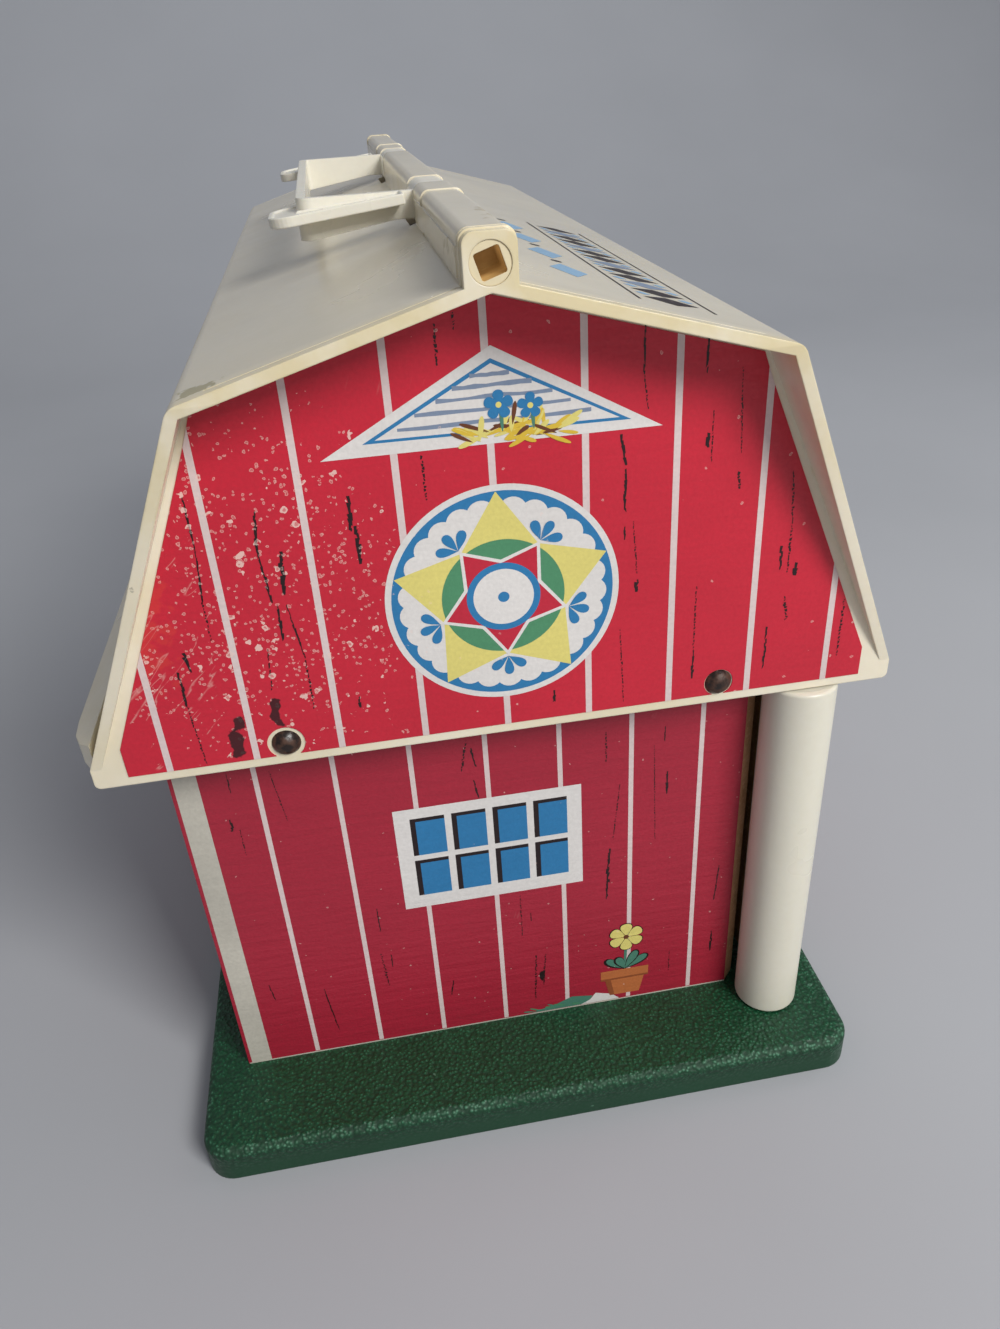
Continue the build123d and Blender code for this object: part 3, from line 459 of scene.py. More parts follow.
# Painted shade: the lower walls, back and doors use a darker copy of the gable's red, which stands in for the
# shade under the roof's overhang.
shaded_wall_paper = printed("shaded_wall_paper", "#AB2037", crease=0.3)
INK_CODES = {
    "white": "#E6E2DE", "pink": "#E2CFCC", "cream": "#D2CDBF", "blue": "#2A7CB2", "pale_blue": "#8CB2D2",
    "slate": "#8090A8", "yellow": "#E6D97C", "green": "#4F9068", "red": "#C4223A", "black": "#1E0A0C",
    "clay": "#C2703F", "clay_dark": "#96502C", "leaf": "#4E8470", "straw": "#E0BE3C", "brown": "#6B3A1C",
}
inks = {}
for name, code in INK_CODES.items():
    inks[name] = printed("ink_" + name, code, wear=0.7, tone=0.3 if name == "cream" else 0.12)
lay_stain(gable_paper, (-82.0, -151.0, 190.0), (7.0, 20.0, 26.0), "#D9482E", 0.25, 0.7)
SMEARS = [
    ((-56.2, -151, 151.5), (1.5, 20, 4.6)), ((-65.6, -151, 149.8), (1.6, 20, 2.2)),
    ((-66.4, -151, 144.0), (1.7, 20, 4.6)),
]
for middle, size in SMEARS:
    lay_stain(gable_paper, middle, size, "#1E070C", 0.92, 0.95)
print("inks:", len(inks))

# %% [markdown]
# ## Board, metal and the rest
# The walls are pressed fibreboard, brown and fuzzy where a cut edge shows. The rivets are a
# dark lacquered brown, and the pins and screws plated steel. The axle is pale on its end face
# and amber down its square socket. Daylight comes through its thin plastic there, so the
# socket's walls glow a little, which stands in for the light that passes through.

# %% Board, metal and amber
def fibreboard(name, pale, dark, fibre):
    """Pressed fibreboard from two brown tones and the colour of its fuzz."""
    made, tree, shader, place, soft = start_finish(name, 0.3)
    fibres = node(
        tree, "ShaderNodeTexNoise", {"Vector": place, "Scale": 700.0, "Detail": 6.0, "Roughness": 0.7}
    ).outputs["Fac"]
    clouds = use(tree, "mottle", {"Place": place, "Scale": 90.0, "Low": 0.3, "High": 0.7})
    colour = blend(tree, clouds, paint(pale), paint(dark))
    colour = blend(tree, spread(tree, fibres, 0.5, 0.7), colour, paint(fibre))
    tree.links.new(colour, shader.inputs["Base Color"])
    shader.inputs["Roughness"].default_value = 0.85
    finish_bump(tree, shader, fibres, soft, 0.35)
    return made


board = fibreboard("board", "#C79868", "#A3764A", "#D6AE80")
# Painted light: the end walls get a lighter copy of the board, so that their bevelled edge in the door post's
# shadow reads as lit.
lit_end_board = fibreboard("lit_end_board", "#E2B285", "#C09266", "#F0C79C")

rivet_brown, tree, shader, place, soft = start_finish("rivet_brown", 0.2)
clouds = use(tree, "mottle", {"Place": place, "Scale": 500.0, "Low": 0.4, "High": 0.6})
tree.links.new(blend(tree, clouds, paint("#1F120D"), paint("#4A3124")), shader.inputs["Base Color"])
tree.links.new(spread(tree, clouds, 0.0, 1.0, 0.3, 0.55), shader.inputs["Roughness"])
finish_bump(tree, shader, clouds, soft, 0.08)

plated_steel, tree, shader, place, soft = start_finish("plated_steel", 0.15)
clouds = use(tree, "mottle", {"Place": place, "Scale": 300.0, "Low": 0.3, "High": 0.7})
tree.links.new(blend(tree, clouds, paint("#B9B8B4"), paint("#8F8D88")), shader.inputs["Base Color"])
tree.links.new(spread(tree, clouds, 0.0, 1.0, 0.28, 0.45), shader.inputs["Roughness"])
shader.inputs["Metallic"].default_value = 1.0
finish_bump(tree, shader, clouds, soft, 0.02)

amber, tree, shader, place, soft = start_finish("amber", 0.2)
clouds = use(tree, "mottle", {"Place": place, "Scale": 120.0, "Low": 0.3, "High": 0.7})
facing = node(tree, "ShaderNodeTexCoord").outputs["Normal"]
endways = sums(tree, "ABSOLUTE", axis_of(tree, facing, "Y"))
along = sums(tree, "ABSOLUTE", axis_of(tree, place, "Y"))
end_face = sums(tree, "MULTIPLY", spread(tree, endways, 0.8, 0.9), spread(tree, along, 0.165, 0.166))
inside = blend(tree, clouds, paint("#D0AE72"), paint("#8F6A38"))
tree.links.new(blend(tree, end_face, inside, paint("#E0D2AE")), shader.inputs["Base Color"])
tree.links.new(inside, shader.inputs["Emission Color"])
tree.links.new(sums(tree, "MULTIPLY_ADD", end_face, -0.22, 0.22), shader.inputs["Emission Strength"])
tree.links.new(spread(tree, clouds, 0.0, 1.0, 0.3, 0.5), shader.inputs["Roughness"])
finish_bump(tree, shader, clouds, soft, 0.05)

# %% [markdown]
# ## Finishes on the CAD pieces
# A CAD piece whose shape is right keeps its mesh and only gets a finish.

# %% Finishes on the CAD pieces
WEARS = {
    roof_ivory: ["roof_shell", "loft_rail"],
    post_ivory: ["near_door_post", "far_door_post", "near_post_plugs", "far_post_plugs"],
    handle_ivory: ["carry_handle"],
    knob_ivory: ["near_door_knob", "far_door_knob"],
    green_base: ["base_tray"],
    gable_paper: ["near_gable_print", "far_gable_print"],
    shaded_wall_paper: ["near_end_print", "far_end_print", "back_print", "near_door_print", "far_door_print"],
    board: [
        "back_wall", "near_door_leaf", "far_door_leaf", "loft_floor", "loft_cleats", "corner_blocks",
        "wall_cleats"
    ],
    lit_end_board: ["near_end_wall", "far_end_wall"],
    rivet_brown: ["gable_rivets"],
    plated_steel: [
        "base_screws", "rivet_washers", "lower_pins", "upper_pins", "near_knob_washer", "far_knob_washer"
    ],
    amber: ["handle_axle"],
}
for made, names in WEARS.items():
    for name in names:
        for slot in nodes_of[name].material_slots:
            slot.material = made
print("dressed:", sum(len(names) for names in WEARS.values()), "of", len(nodes_of))

# %% [markdown]
# ## Keeping a shape
# A shape is made in a bmesh, which is a mesh being worked on, and then becomes an object with
# its finishes. The barn's two ends mirror each other, so a far shape is a near one with its y
# turned round, which turns its faces inside out, and reversing them puts that right.


# %% Keep a shape
def keep(name, shape, finishes, flip=False):
    """Turns a bmesh into an object in the scene; flip makes the mirror image for the far end."""
    if flip:
        bmesh.ops.scale(shape, vec=(1, -1, 1), verts=shape.verts)
        bmesh.ops.reverse_faces(shape, faces=shape.faces)
    mesh = bpy.data.meshes.new(name)
    shape.to_mesh(mesh)
    shape.free()
    for finish in finishes:
        mesh.materials.append(finish)
    piece = bpy.data.objects.new(name, mesh)
    bpy.context.scene.collection.objects.link(piece)
    return piece


# %% [markdown]
# ## Rims on the handle's flanges
# Each arm of the handle carries a flange that ends in a rounded tongue with a raised rim. The
# CAD flange has cut corners, so a moulded skin is laid over it: its outline is a face whose
# corners are rounded by a vertex bevel, which is then extruded, and inset twice to leave the
# rim standing. It is drawn flat and tilted with the flange.

# %% Flange rims
AXLE_Z, FLANGE_RISE, FLANGE_TILT = 251.0, 1.6, math.radians(-6.2)
ROOT_X, TIP_X, GRIP_X, OUTER_Y, TONGUE_Y, ARM_Y = -7.9, -43.3, -34.9, -78.1, -55.9, -69.0
UNDER, TOP, TONGUE_ROUND, RIM_WIDE, RIM_DEEP = -0.1, 2.45, 6.2, 1.2, 0.5


def flange_rim(name, flip):
    """A tongue with a raised rim, over one arm's flange; flip makes the far one."""
    rim = bmesh.new()
    outline = [
        (GRIP_X, ARM_Y), (GRIP_X, TONGUE_Y), (TIP_X, TONGUE_Y), (TIP_X, OUTER_Y), (ROOT_X, OUTER_Y),
        (ROOT_X, ARM_Y)
    ]
    verts = [rim.verts.new((x * MM, y * MM, UNDER * MM)) for x, y in outline]
    rim.faces.new(verts)
    bmesh.ops.bevel(
        rim, geom=verts[2:4], offset=TONGUE_ROUND * MM, segments=8, profile=0.5, affect="VERTICES",
        material=-1
    )
    made = bmesh.ops.extrude_face_region(rim, geom=rim.faces[:])
    raised = [g for g in made["geom"] if isinstance(g, bmesh.types.BMVert)]
    bmesh.ops.translate(rim, vec=(0, 0, (TOP - UNDER) * MM), verts=raised)
    top = [g for g in made["geom"] if isinstance(g, bmesh.types.BMFace)]
    bmesh.ops.inset_region(rim, faces=top, thickness=RIM_WIDE * MM, depth=0.0)
    bmesh.ops.inset_region(rim, faces=top, thickness=0.35 * MM, depth=-RIM_DEEP * MM)
    bmesh.ops.recalc_face_normals(rim, faces=rim.faces)
    tilt = Matrix.Translation(
        (ROOT_X * MM, 0, (AXLE_Z + FLANGE_RISE) * MM)
    ) @ Matrix.Rotation(FLANGE_TILT, 4, "Y")
    bmesh.ops.transform(rim, matrix=tilt @ Matrix.Translation((-ROOT_X * MM, 0, 0)), verts=rim.verts)
    piece = keep(name, rim, [handle_ivory], flip)
    soft_edge = piece.modifiers.new("soft edge", "BEVEL")
    soft_edge.width, soft_edge.segments, soft_edge.limit_method = 0.3 * MM, 3, "ANGLE"
    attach(piece, "handle")
    print(name, len(piece.data.polygons), "faces")


flange_rim("near_flange_rim", False)
flange_rim("far_flange_rim", True)

# %% [markdown]
# ## Printing as thin layers
# Ink is flat, so each motif is a stack of flat patches a few hundredths of a millimetre above
# the paper, drawn as one would cut coloured paper: a white disc, a blue disc on it, and so
# on. A texture would blur at the edges, and these stay sharp from any distance. A drawing is
# made flat, with u to the right and v up, and is then turned into its wall's plane.

# %% Drawing helpers
INKS = sorted(inks)


def tint(faces, ink):
    """Gives faces the material slot of an ink."""
    for face in faces:
        face.material_index = INKS.index(ink)


def patch(art, corners, lift, ink):
    """A flat patch from its corners, anticlockwise; lift is in hundredths of a millimetre."""
    face = art.faces.new([art.verts.new((u * MM, v * MM, lift * MM / 100)) for u, v in corners])
    tint([face], ink)


def oblong(art, u0, v0, u1, v1, lift, ink):
    patch(art, [(u0, v0), (u1, v0), (u1, v1), (u0, v1)], lift, ink)


def disc(art, u, v, radius, lift, ink, segments=48):
    at = Matrix.Translation((u * MM, v * MM, lift * MM / 100))
    made = bmesh.ops.create_circle(art, cap_ends=True, segments=segments, radius=radius * MM, matrix=at)
    tint({f for vert in made["verts"] for f in vert.link_faces}, ink)


def leaf(art, u, v, angle, long, wide, lift, ink, tip=0.7):
    """A petal whose pointed end is at u, v and which reaches out along the angle."""
    made = bmesh.ops.create_circle(art, cap_ends=True, segments=20, radius=1.0)
    for vert in made["verts"]:
        share = (vert.co.x + 1) / 2
        vert.co = (share * long * MM, vert.co.y * wide / 2 * share ** tip * MM, 0)
    place = Matrix.Translation(
        (u * MM, v * MM, lift * MM / 100)
    ) @ Matrix.Rotation(math.radians(angle), 4, "Z")
    bmesh.ops.transform(art, matrix=place, verts=made["verts"])
    tint({f for vert in made["verts"] for f in vert.link_faces}, ink)


def out_at(u, v, radius, angle):
    """The point at a radius and an angle from a middle."""
    return (u + radius * math.cos(math.radians(angle)), v + radius * math.sin(math.radians(angle)))


def plane_at(origin, right, up):
    """The matrix that carries a drawing into a plane, facing right x up."""
    right, up = Vector(right).normalized(), Vector(up).normalized()
    turn = Matrix((right, up, right.cross(up))).transposed().to_4x4()
    return Matrix.Translation(Vector(origin) * MM) @ turn


def hang(name, art, plane, body, flip=False):
    """Puts a drawing on its plane; flip makes the mirror image for the other end of the barn."""
    bmesh.ops.transform(art, matrix=plane, verts=art.verts)
    piece = keep(name, art, [inks[ink] for ink in INKS], flip)
    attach(piece, body)


# %% [markdown]
# ## Grain strokes
# The paper imitates painted boards, with the grain drawn as broken black crayon strokes. A
# stroke is a row of ragged little dashes. Each dash is four corners pushed about by a seeded
# random number, so it is the same each time the notebook runs.


# %% Grain strokes
def grain(art, u0, v0, u1, v1, wide, broken, lift, dice):
    """A crayon stroke from one point to the other; broken makes it a row of dots."""
    long = math.hypot(u1 - u0, v1 - v0)
    along = 0.0
    while along < long:
        step = dice.uniform(0.5, 1.2) if broken else dice.uniform(0.7, 1.7)
        share = along / long
        fade = 0.55 + 0.45 * math.sin(math.pi * min(max(share, 0.04), 0.96))
        half = wide * fade * dice.uniform(0.28, 0.66)
        u = u0 + (u1 - u0) * share + dice.uniform(-0.16, 0.16) * wide
        v = v0 + (v1 - v0) * share
        drop = -min(step * (0.7 if broken else 1.25), long - along + 0.3)
        lean = (u1 - u0) / long * -drop
        skew = dice.uniform(-0.3, 0.3) * wide
        corners = [(u - half, v + dice.uniform(-0.3, 0.3)), (u - half * 0.7 + lean + skew, v + drop),
                   (u + half * 0.6 + lean + skew, v + drop + dice.uniform(-0.4, 0.4)), (u + half, v)]
        patch(art, corners, lift, "black")
        lift += 0.5 if lift == int(lift) else -0.5
        along += step


# Each stroke: where it starts and ends, its width in tenths of a millimetre, and whether it is dotted.
GABLE_GRAIN = [
    (-10, 238, -10, 230, 6, 1), (-6, 240, -6, 237, 6, 1), (-15, 211, -15, 201, 6, 1),
    (-32, 204, -32, 196, 11, 0), (-31, 197, -31, 188, 10, 0), (-52, 203, -53, 193, 8, 0),
    (-53, 193, -52, 181, 7, 0), (-48, 193, -49, 183, 12, 0), (-51, 180, -51, 171, 7, 0),
    (-49, 180, -47, 166, 5, 0), (-47, 166, -47, 151, 5, 1), (-66, 208, -66, 194, 5, 0),
    (-66, 194, -67, 183, 5, 0), (-67, 184, -67, 173, 5, 1), (-74, 171, -73, 166, 10, 0),
    (-76, 166, -76, 157, 8, 0), (-76, 157, -75, 140, 5, 1), (-55, 169, -56, 158, 5, 1),
    (-36, 153, -36, 150, 8, 0), (34, 234, 34, 224, 5, 0), (34, 224, 35, 216, 4, 1),
    (48, 230, 48, 223, 6, 0), (49, 209, 49, 206, 12, 0), (50, 214, 50, 202, 4, 1), (56, 223, 57, 204, 4, 1),
    (57, 199, 57, 195, 11, 1), (29, 211, 30, 204, 8, 0), (30, 203, 30, 193, 7, 0), (30, 189, 30, 186, 5, 0),
    (32, 190, 33, 177, 4, 1), (33, 175, 33, 172, 11, 0), (48, 171, 48, 153, 5, 1), (48, 153, 48, 145, 7, 0),
    (70, 198, 71, 185, 6, 1), (71, 185, 71, 172, 6, 1), (71, 165, 72, 158, 8, 1), (69, 179, 69, 173, 9, 0),
    (73, 174, 73, 171, 12, 0), (67, 157, 67, 145, 7, 0), (87, 162, 87, 146, 6, 1), (29, 162, 30, 141, 4, 1),
    (12, 147, 12, 144, 8, 0),
]
WALL_GRAIN = [
    (-74, 126, -74, 120, 4, 0), (-63, 125, -61, 108, 4, 1), (-76, 111, -76, 107, 10, 0),
    (-74, 107, -74, 98, 4, 1), (-10, 126, -12, 116, 7, 1), (-9, 123, -8, 117, 7, 0),
    (-9, 112, -8, 106, 5, 0), (29, 122, 29, 112, 5, 1), (33, 103, 31, 82, 4, 1), (30, 79, 29, 59, 9, 0),
    (46, 121, 46, 116, 4, 0), (43, 115, 44, 80, 3, 1), (47, 105, 47, 97, 8, 0), (-41, 70, -41, 61, 4, 0),
    (-42, 51, -41, 37, 6, 1), (-39, 50, -39, 45, 5, 0), (-77, 46, -76, 39, 4, 0), (-61, 40, -59, 21, 4, 0),
    (-21, 34, -22, 28, 4, 0), (2, 66, 2, 49, 4, 1), (5, 58, 5, 55, 5, 0), (6, 39, 5, 19, 7, 1),
    (9, 39, 8, 25, 6, 1), (65, 65, 64, 51, 5, 0), (64, 37, 64, 28, 8, 0), (50, 31, 50, 22, 4, 1),
]

# %% [markdown]
# ## The barn star
# A barn star is an old painted ornament: a ring, a scalloped cloud, a star and petals, all
# from a compass. It is drawn here in that way, from circles and a few angles, largest layer
# first.


# %% Barn star
def barn_star(art, u, v, lift):
    first = 91.0
    disc(art, u, v, 27.8, lift, "white", 96)
    disc(art, u, v, 26.3, lift + 2, "blue", 96)
    disc(art, u, v, 21.6, lift + 4, "white", 96)
    for k in range(5):
        for i in range(5):
            lobe = first + 36 + 72 * k + (i - 2) * 13.2
            disc(art, *out_at(u, v, 21.5, lobe), 3.3, lift + 4.5 + 0.05 * i, "white", 24)
    for k in range(5):
        tip = first + 72 * k
        corners = [
            out_at(u, v, 26.2, tip), out_at(u, v, 15.3, tip + 36), out_at(u, v, 11.0, tip),
            out_at(u, v, 15.3, tip - 36)
        ]
        patch(art, corners, lift + 6, "yellow")
    disc(art, u, v, 14.6, lift + 8, "green", 72)
    for radius, inner, height, ink in ((15.9, 9.6, 10, "white"), (14.6, 8.7, 12, "red")):
        corners = []
        for k in range(5):
            corners.append(out_at(u, v, inner, first + 72 * k))
            corners.append(out_at(u, v, radius, first + 72 * k + 36))
        patch(art, corners, lift + height, ink)
    for radius, height, ink in ((8.8, 14, "blue"), (7.2, 16, "white"), (1.35, 18, "blue")):
        disc(art, u, v, radius, lift + height, ink)
    for k in range(5):
        spoke = first + 36 + 72 * k
        for swing in (-52, 0, 52):
            leaf(
                art, *out_at(u, v, 16.2, spoke), spoke + swing, 5.2, 3.4, lift + 14 + 0.1 * swing / 52,
                "blue", 0.8
            )


# %% [markdown]
# ## Louvre, straw and flowers
# Under the ridge is a painted louvre: a white triangle with a blue line inside and slate
# bars. On its sill lies a little heap of straw with two small flowers, a plain motif of the
# same colours and size as such a print carries.


# %% Louvre
def louvre(art, lift, dice):
    patch(art, [(-36.5, 212.2), (38.4, 212.0), (1.2, 232.8)], lift, "white")
    patch(art, [(-27.3, 214.9), (31.2, 214.2), (1.0, 230.2)], lift + 2, "blue")
    patch(art, [(-24.6, 215.5), (28.6, 214.9), (1.0, 229.2)], lift + 4, "white")
    for k, v in enumerate((217.2, 219.9, 222.4, 224.8, 227.0)):
        reach = 0.93 * (230.0 - v) / 15.2
        u0, u1 = 1.0 - 27.2 * reach + dice.uniform(0, 1.5), 1.0 + 28.2 * reach - dice.uniform(0, 1.5)
        steps = 7
        low = [(u0 + (u1 - u0) * i / steps, v - 0.45 + dice.uniform(-0.15, 0.15)) for i in range(steps + 1)]
        high = [(u0 + (u1 - u0) * i / steps, v + 0.4 + dice.uniform(-0.2, 0.2)) for i in range(steps, -1, -1)]
        patch(art, low + high, lift + 6, "slate")
    for i in range(54):
        u = dice.uniform(-4.0, 15.0)
        v = 212.8 + dice.uniform(0.0, 3.6) * (1 - abs(u - 5.5) / 14)
        angle = dice.choice((12, 160, 30, 145, 200, -20, 95, 70)) + dice.uniform(-12, 12)
        ink = "brown" if i % 6 == 4 else ("straw" if i % 3 else "yellow")
        leaf(art, u, v, angle, dice.uniform(3.5, 7.0), dice.uniform(0.8, 1.6), lift + 8 + 0.08 * i, ink, 0.4)
    for u, v, radius in ((2.2, 220.4, 2.7), (9.0, 219.6, 2.4)):
        leaf(art, u + 0.6, 214.5, 92, v - 214.5, 0.9, lift + 13, "leaf", 0.1)
        for k in range(5):
            leaf(art, u, v, 90 + 72 * k, radius * 1.2, radius * 1.15, lift + 14 + 0.1 * k, "blue", 0.5)
        disc(art, u, v, 0.65, lift + 16, "yellow", 16)


# %% [markdown]
# ## The near gable's print
# White lines divide the red paper into boards. They run up to the label's edge, which follows
# the roof, so their top corners are worked out from that edge.


# %% Gable print
PEAK_V, UPPER_DROP, KNEE_U, KNEE_V = 243.2, 17.4, 60.8, 225.8
STEP_SLOPE, STEP_U, STEP_V, LOWER_DROP, LOWER_WIDE = 2.7, 62.8, 220.4, 73.3, 31.0
LABEL_LOW, GABLE_BOARD, GABLE_LINE = 138.9, 20.95, 0.8


def label_top(u):
    """The height of the gable label's upper edge: two slopes with a short step at the knee."""
    u = abs(u)
    if u < KNEE_U:
        return PEAK_V - u * UPPER_DROP / KNEE_U
    if u < STEP_U:
        return KNEE_V - (u - KNEE_U) * STEP_SLOPE
    return STEP_V - (u - STEP_U) * LOWER_DROP / LOWER_WIDE


def gable_art(art, dice):
    for k in range(-4, 5):
        left, right = k * GABLE_BOARD - GABLE_LINE, k * GABLE_BOARD + GABLE_LINE
        corners = [(left, LABEL_LOW), (right, LABEL_LOW), (right, label_top(right)), (left, label_top(left))]
        patch(art, corners, 3, "pink")
    for u0, v0, u1, v1, wide, broken in GABLE_GRAIN:
        grain(art, u0, v0, u1, v1, wide / 10, broken, 4, dice)
    barn_star(art, 0.8, 175.0, 6)
    louvre(art, 6, dice)


GABLE_PLANE = plane_at((0, -150.85, 0), (1, 0, 0), (0, 0, 1))
for name, flip, seed in (("near_gable_art", False, 5), ("far_gable_art", True, 6)):
    art = bmesh.new()
    gable_art(art, random.Random(seed))
    print(name, len(art.faces), "patches")
    hang(name, art, GABLE_PLANE, "barn", flip)

# %% [markdown]
# ## The lower wall's print
# Below the gable the same boards go on, a little closer together. There is a cream corner
# board at the back, a window with eight panes, and a flower in a pot. Each pane is a black
# patch with a blue one set down and to the right, so that it looks sunk into its frame.


# %% Window and flower pot
def window(art, u0, v0, u1, v1, lift):
    oblong(art, u0, v0, u1, v1, lift, "white")
    left, right, low, high = u0 + 4.5, u1 - 4.3, v0 + 4.7, v1 - 3.6
    wide, tall = (right - left + 2.0) / 4, (high - low + 1.9) / 2
    for i in range(4):
        for k in range(2):
            a, b = left + i * wide, low + k * tall
            oblong(art, a, b, a + wide - 2.0, b + tall - 1.9, lift + 2, "black")
            oblong(art, a + 1.5, b, a + wide - 2.0, b + tall - 3.1, lift + 4, "blue")


def flower_pot(art, u, v, lift):
    """A clay pot whose foot is at u, v, with one yellow flower."""
    patch(art, [(u - 5.0, v), (u + 5.0, v), (u + 6.8, v + 8.2), (u - 6.8, v + 8.2)], lift, "clay")
    patch(art, [(u - 5.0, v), (u - 3.4, v), (u - 4.8, v + 8.2), (u - 6.8, v + 8.2)], lift + 2, "clay_dark")
    oblong(art, u - 8.0, v + 7.6, u + 8.0, v + 11.6, lift + 4, "clay")
    oblong(art, u - 8.0, v + 7.2, u + 8.0, v + 8.0, lift + 5, "clay_dark")
    leaf(art, u, v + 11.4, 88, 14.0, 1.0, lift + 3, "leaf", 0.1)
    for i, (angle, long) in enumerate(((34, 9.0), (142, 8.0), (62, 8.5), (116, 6.0))):
        leaf(art, u, v + 11.6, angle, long + 0.5, 4.6, lift + 5 + 0.5 * i, "black", 0.6)
        leaf(art, u + 0.1, v + 11.9, angle, long - 0.3, 3.6, lift + 5.25 + 0.5 * i, "leaf", 0.6)
    for k in range(6):
        leaf(art, u + 0.4, v + 26.2, 30 + 60 * k, 6.0, 6.4, lift + 8 + 0.3 * k, "black", 0.9)
        leaf(art, u + 0.4, v + 26.2, 30 + 60 * k, 5.7, 5.8, lift + 10 + 0.3 * k, "yellow", 0.9)
    disc(art, u + 0.4, v + 26.2, 0.9, lift + 12, "brown", 20)


def grass(art, u, v, lift, dice):
    """A low green tuft and a pale stone beside it."""
    patch(art, [(u, v), (u + 19, v), (u + 21, v + 3.4), (u + 14, v + 4.6), (u + 9, v + 2.4)], lift, "leaf")
    patch(
        art, [(u + 17, v), (u + 30, v), (u + 27.5, v + 2.6), (u + 22, v + 4.4), (u + 20, v + 1.6)],
        lift + 1, "white"
    )
    for i in range(9):
        start = (u + 1.5 + 2.2 * i, v + dice.uniform(0.3, 1.2))
        leaf(
            art, *start, dice.uniform(150, 175), dice.uniform(3, 5.5), 0.9, lift + 2 + 0.1 * i,
            "green" if i % 2 else "leaf", 0.5
        )


# %% Lower wall print
WALL_LOW, WALL_HIGH, WALL_BOARD, WALL_LINE = 12.7, 136.8, 20.65, 0.7
SILL_V, HEAD_V, CORNER_LOW = 67.8, 105.2, 12.3


def wall_art(art, dice):
    """Boards, a window, a flower pot and a tuft on an end wall."""
    oblong(art, -88.0, CORNER_LOW, -81.7, WALL_HIGH, 3, "cream")
    for k in range(7):
        u = -66.95 + WALL_BOARD * k
        oblong(art, u - WALL_LINE, WALL_LOW, u + WALL_LINE, WALL_HIGH, 3, "pink")
    for u0, v0, u1, v1, wide, broken in WALL_GRAIN:
        grain(art, u0, v0, u1, v1, wide / 10, broken, 4, dice)
    window(art, -32.5, SILL_V, 21.6, HEAD_V, 6)
    flower_pot(art, 35.0, 14.6, 6)
    grass(art, 3.2, 12.6, 6, dice)
    leaf(art, 7.6, 27.0, 90, 4.6, 2.2, 5, "black", 0.3)
    oblong(art, -88.8, 12.0, 69.8, 12.5, 5, "cream")


WALL_PLANE = plane_at((0, -137.25, 0), (1, 0, 0), (0, 0, 1))
for name, flip, seed in (("near_wall_art", False, 15), ("far_wall_art", True, 16)):
    art = bmesh.new()
    wall_art(art, random.Random(seed))
    print(name, len(art.faces), "patches")
    hang(name, art, WALL_PLANE, "barn", flip)

# %% [markdown]
# ## Back wall and doors
# The photograph doesn't show these, so they carry the plainest print that belongs to such a
# barn: the same boards, two windows at the back, and white braces on the doors.


# %% Back wall print
art = bmesh.new()
dice = random.Random(31)
for u0, u1 in ((-136.4, -129.8), (129.8, 136.4)):
    oblong(art, u0, CORNER_LOW, u1, WALL_HIGH, 3, "cream")
for k in range(-6, 7):
    u = k * WALL_BOARD
    oblong(art, u - WALL_LINE, WALL_LOW, u + WALL_LINE, WALL_HIGH, 3, "pink")
for i in range(30):
    u, v = dice.uniform(-125, 125), dice.uniform(30, 130)
    grain(art, u, v, u + dice.uniform(-1, 1), v - dice.uniform(6, 16), dice.uniform(0.4, 0.9), i % 2, 4, dice)
for u0, u1 in ((-88.0, -34.0), (34.0, 88.0)):
    window(art, u0, SILL_V, u1, HEAD_V, 6)
back_plane = plane_at((-89.05, 0, 0), (0, -1, 0), (0, 0, 1))
hang("back_wall_art", art, back_plane, "barn")


# %% Door print
def door_art(art, dice):
    """Boards, a frame with a middle bar, and crossed braces above and below the bar."""
    low, high, hinge, free, bar_low, bar_high = 13.6, 134.7, -127.4, -1.2, 71.2, 77.2
    for k in range(6):
        u = hinge + 10 + WALL_BOARD * k
        oblong(art, u - WALL_LINE, low, u + WALL_LINE, high, 3, "pink")
    for i in range(16):
        u, v = dice.uniform(hinge + 9, free - 9), dice.uniform(35, 125)
        grain(art, u, v, u, v - dice.uniform(6, 15), dice.uniform(0.4, 0.9), i % 2, 4, dice)
    for u0, u1 in ((hinge, hinge + 6), (free - 6, free)):
        oblong(art, u0, low, u1, high, 7, "white")
    for v0, v1 in ((low, low + 6), (high - 6, high), (bar_low, bar_high)):
        oblong(art, hinge, v0, free, v1, 9, "white")
    for v0, v1 in ((low + 6, bar_low), (bar_high, high - 6)):
        patch(art, [(hinge + 6, v0), (hinge + 14, v0), (free - 6, v1), (free - 14, v1)], 5, "white")
        patch(art, [(free - 14, v0), (free - 6, v0), (hinge + 14, v1), (hinge + 6, v1)], 6, "white")


DOOR_PLANE = plane_at((83.25, 0, 0), (0, 1, 0), (0, 0, 1))
for name, body, flip, seed in (
    ("near_door_art", "near_door", False, 41), ("far_door_art", "far_door", True, 42)
):
    art = bmesh.new()
    door_art(art, random.Random(seed))
    hang(name, art, DOOR_PLANE, body, flip)

# %% [markdown]
# ## A painted band on the right slope
# The right slope carries dark and pale blue printing. It is drawn here as a harlequin band,
# the sort of border that is painted on barns: dark and slate lozenges between two rules, with
# small blue ones in the gaps and a few larger pale ones above.

# %% Painted band
def lozenge(art, u, v, wide, tall, lift, ink):
    """A patch with its corners left, right, above and below."""
    patch(art, [(u - wide / 2, v), (u, v - tall / 2), (u + wide / 2, v), (u, v + tall / 2)], lift, ink)


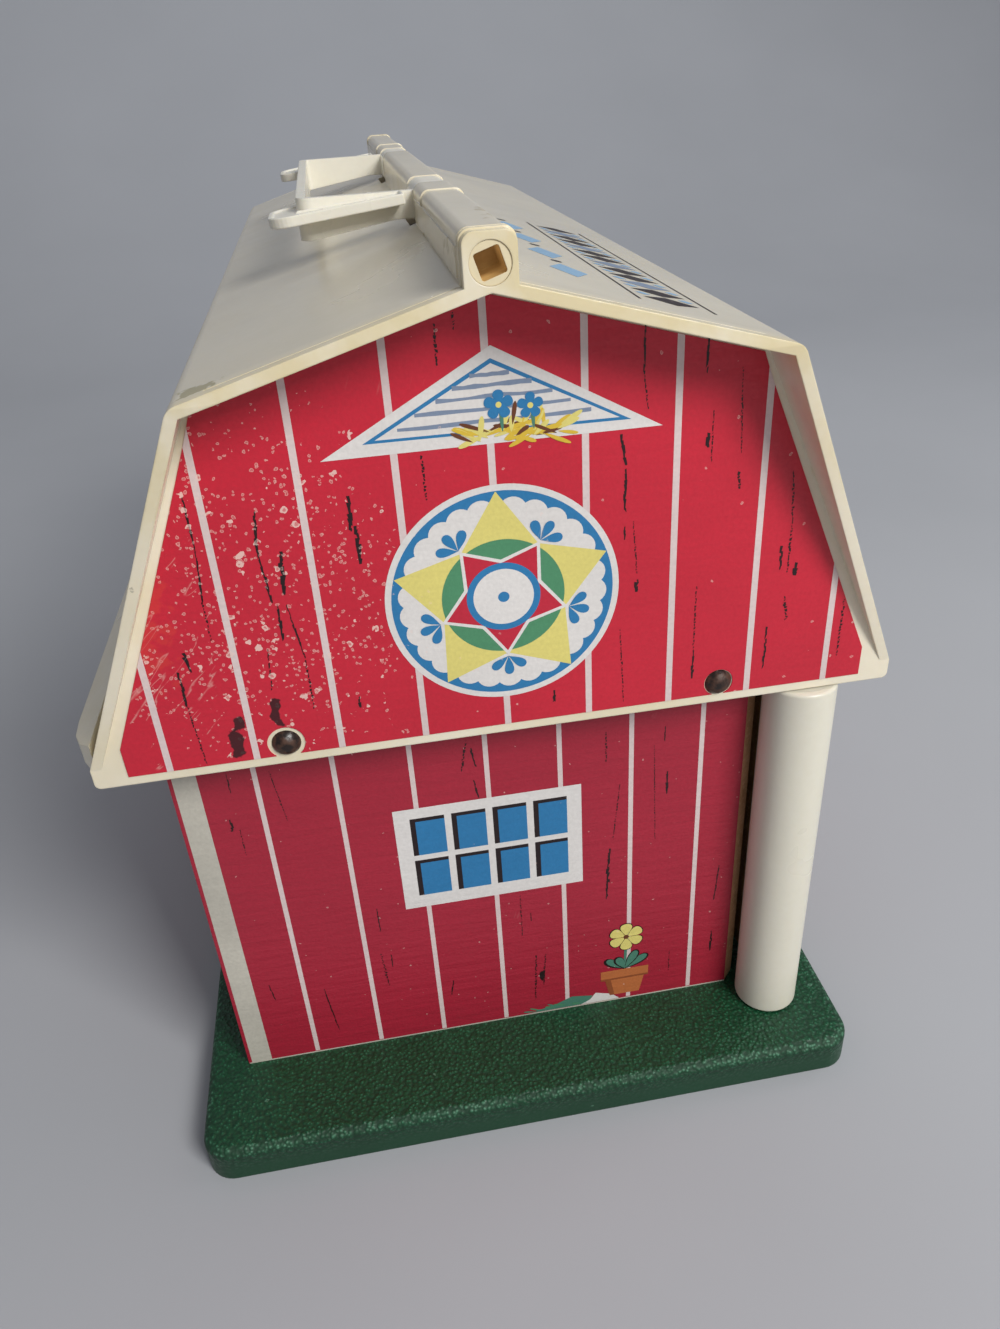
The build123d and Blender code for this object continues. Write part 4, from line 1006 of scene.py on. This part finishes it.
BAND_START, BAND_V, BAND_PITCH = -145.0, -43.0, 9.6
art = bmesh.new()
for i in range(13):
    u = BAND_START + BAND_PITCH * i
    lozenge(art, u, BAND_V, 8.6, 13.0, 4, "slate" if i % 3 == 2 else "black")
    if i < 12:
        for side in (-1, 1):
            lozenge(art, u + BAND_PITCH / 2, BAND_V + side * 5.0, 3.6, 3.6, 4, "pale_blue")
for v in (-51.6, -34.4):
    oblong(art, -150.0, v - 0.35, -25.0, v + 0.35, 4, "black")
for i in range(4):
    lozenge(art, -128 + 26 * i, -24.0, 18.0, 9.0, 4, "pale_blue")
    disc(art, -115 + 26 * i, -24.0, 1.4, 4, "black", 20)
slope_plane = plane_at((0, 0, 248.4), (0, 1, 0), (-62.6, 0, 17.9))
hang("slope_band", art, slope_plane, "barn")

# %% [markdown]
# ## Floor, backdrop and light
# The toy stands on a pale cloth-grey floor that curves up behind it. The light comes mostly
# from a large window high on the right, and the world fills the shadows, at a level where a
# colour shows about as it is written.

# %% Floor and backdrop
floor_grey, tree, shader, place, soft = start_finish("floor_grey", 0.0)
clouds = use(tree, "mottle", {"Place": place, "Scale": 3.0, "Low": 0.2, "High": 0.8})
tree.links.new(blend(tree, clouds, paint("#B0B2B6"), paint("#A8AAAE")), shader.inputs["Base Color"])
shader.inputs["Roughness"].default_value = 0.9
shader.inputs["Specular IOR Level"].default_value = 0.1

# The backdrop's half width, and where it folds, ends and how it is rounded, in metres.
HALF_WIDE, FOLD_Y, BACK_Y, BACK_Z, FOLD_ROUND = 7.0, 1.5, 3.5, 6.0, 0.7
sweep = bmesh.new()
profile = [(-HALF_WIDE, 0), (FOLD_Y, 0), (BACK_Y, BACK_Z)]
edge = [sweep.verts.new((-HALF_WIDE, y, z)) for y, z in profile]
line = [sweep.edges.new(edge[:2]), sweep.edges.new(edge[1:])]
wide = bmesh.ops.extrude_edge_only(sweep, edges=line)
moved = [g for g in wide["geom"] if isinstance(g, bmesh.types.BMVert)]
bmesh.ops.translate(sweep, vec=(2 * HALF_WIDE, 0, 0), verts=moved)
fold = [e for e in sweep.edges if all(abs(v.co.y - FOLD_Y) < 0.01 for v in e.verts)]
bmesh.ops.bevel(
    sweep, geom=fold, offset=FOLD_ROUND, offset_type="OFFSET", segments=16, profile=0.5, affect="EDGES",
    material=-1
)
bmesh.ops.recalc_face_normals(sweep, faces=sweep.faces)
floor = keep("floor", sweep, [floor_grey])
for polygon in floor.data.polygons:
    polygon.use_smooth = True


# %% Light
def lamp(name, place, aim, size, watts, colour):
    """A square area lamp at a place, turned towards an aim; both are in metres."""
    light = bpy.data.lights.new(name, "AREA")
    light.energy, light.size, light.color = watts, size, colour
    made = bpy.data.objects.new(name, light)
    made.location = place
    made.rotation_euler = (Vector(aim) - Vector(place)).to_track_quat("-Z", "Y").to_euler()
    bpy.context.scene.collection.objects.link(made)


lamp("window_light", (0.56, -1.0, 0.95), (0, 0, 0.12), 0.5, 15.8, (1.0, 0.985, 0.96))
lamp("side_light", (1.25, 0.1, 0.9), (0, 0, 0.15), 0.8, 3.5, (0.96, 0.98, 1.0))
lamp("back_light", (0.0, 0.8, 1.9), (0, 2.1, 0.7), 1.2, 9.0, (0.96, 0.98, 1.0))

world = bpy.data.worlds.new("room")
bpy.context.scene.world = world
world.use_nodes = True
sky = world.node_tree.nodes["Background"]
sky.inputs["Color"].default_value = (0.90, 0.92, 1.0, 1.0)
sky.inputs["Strength"].default_value = 0.31
bpy.context.scene.view_settings.view_transform = "Standard"
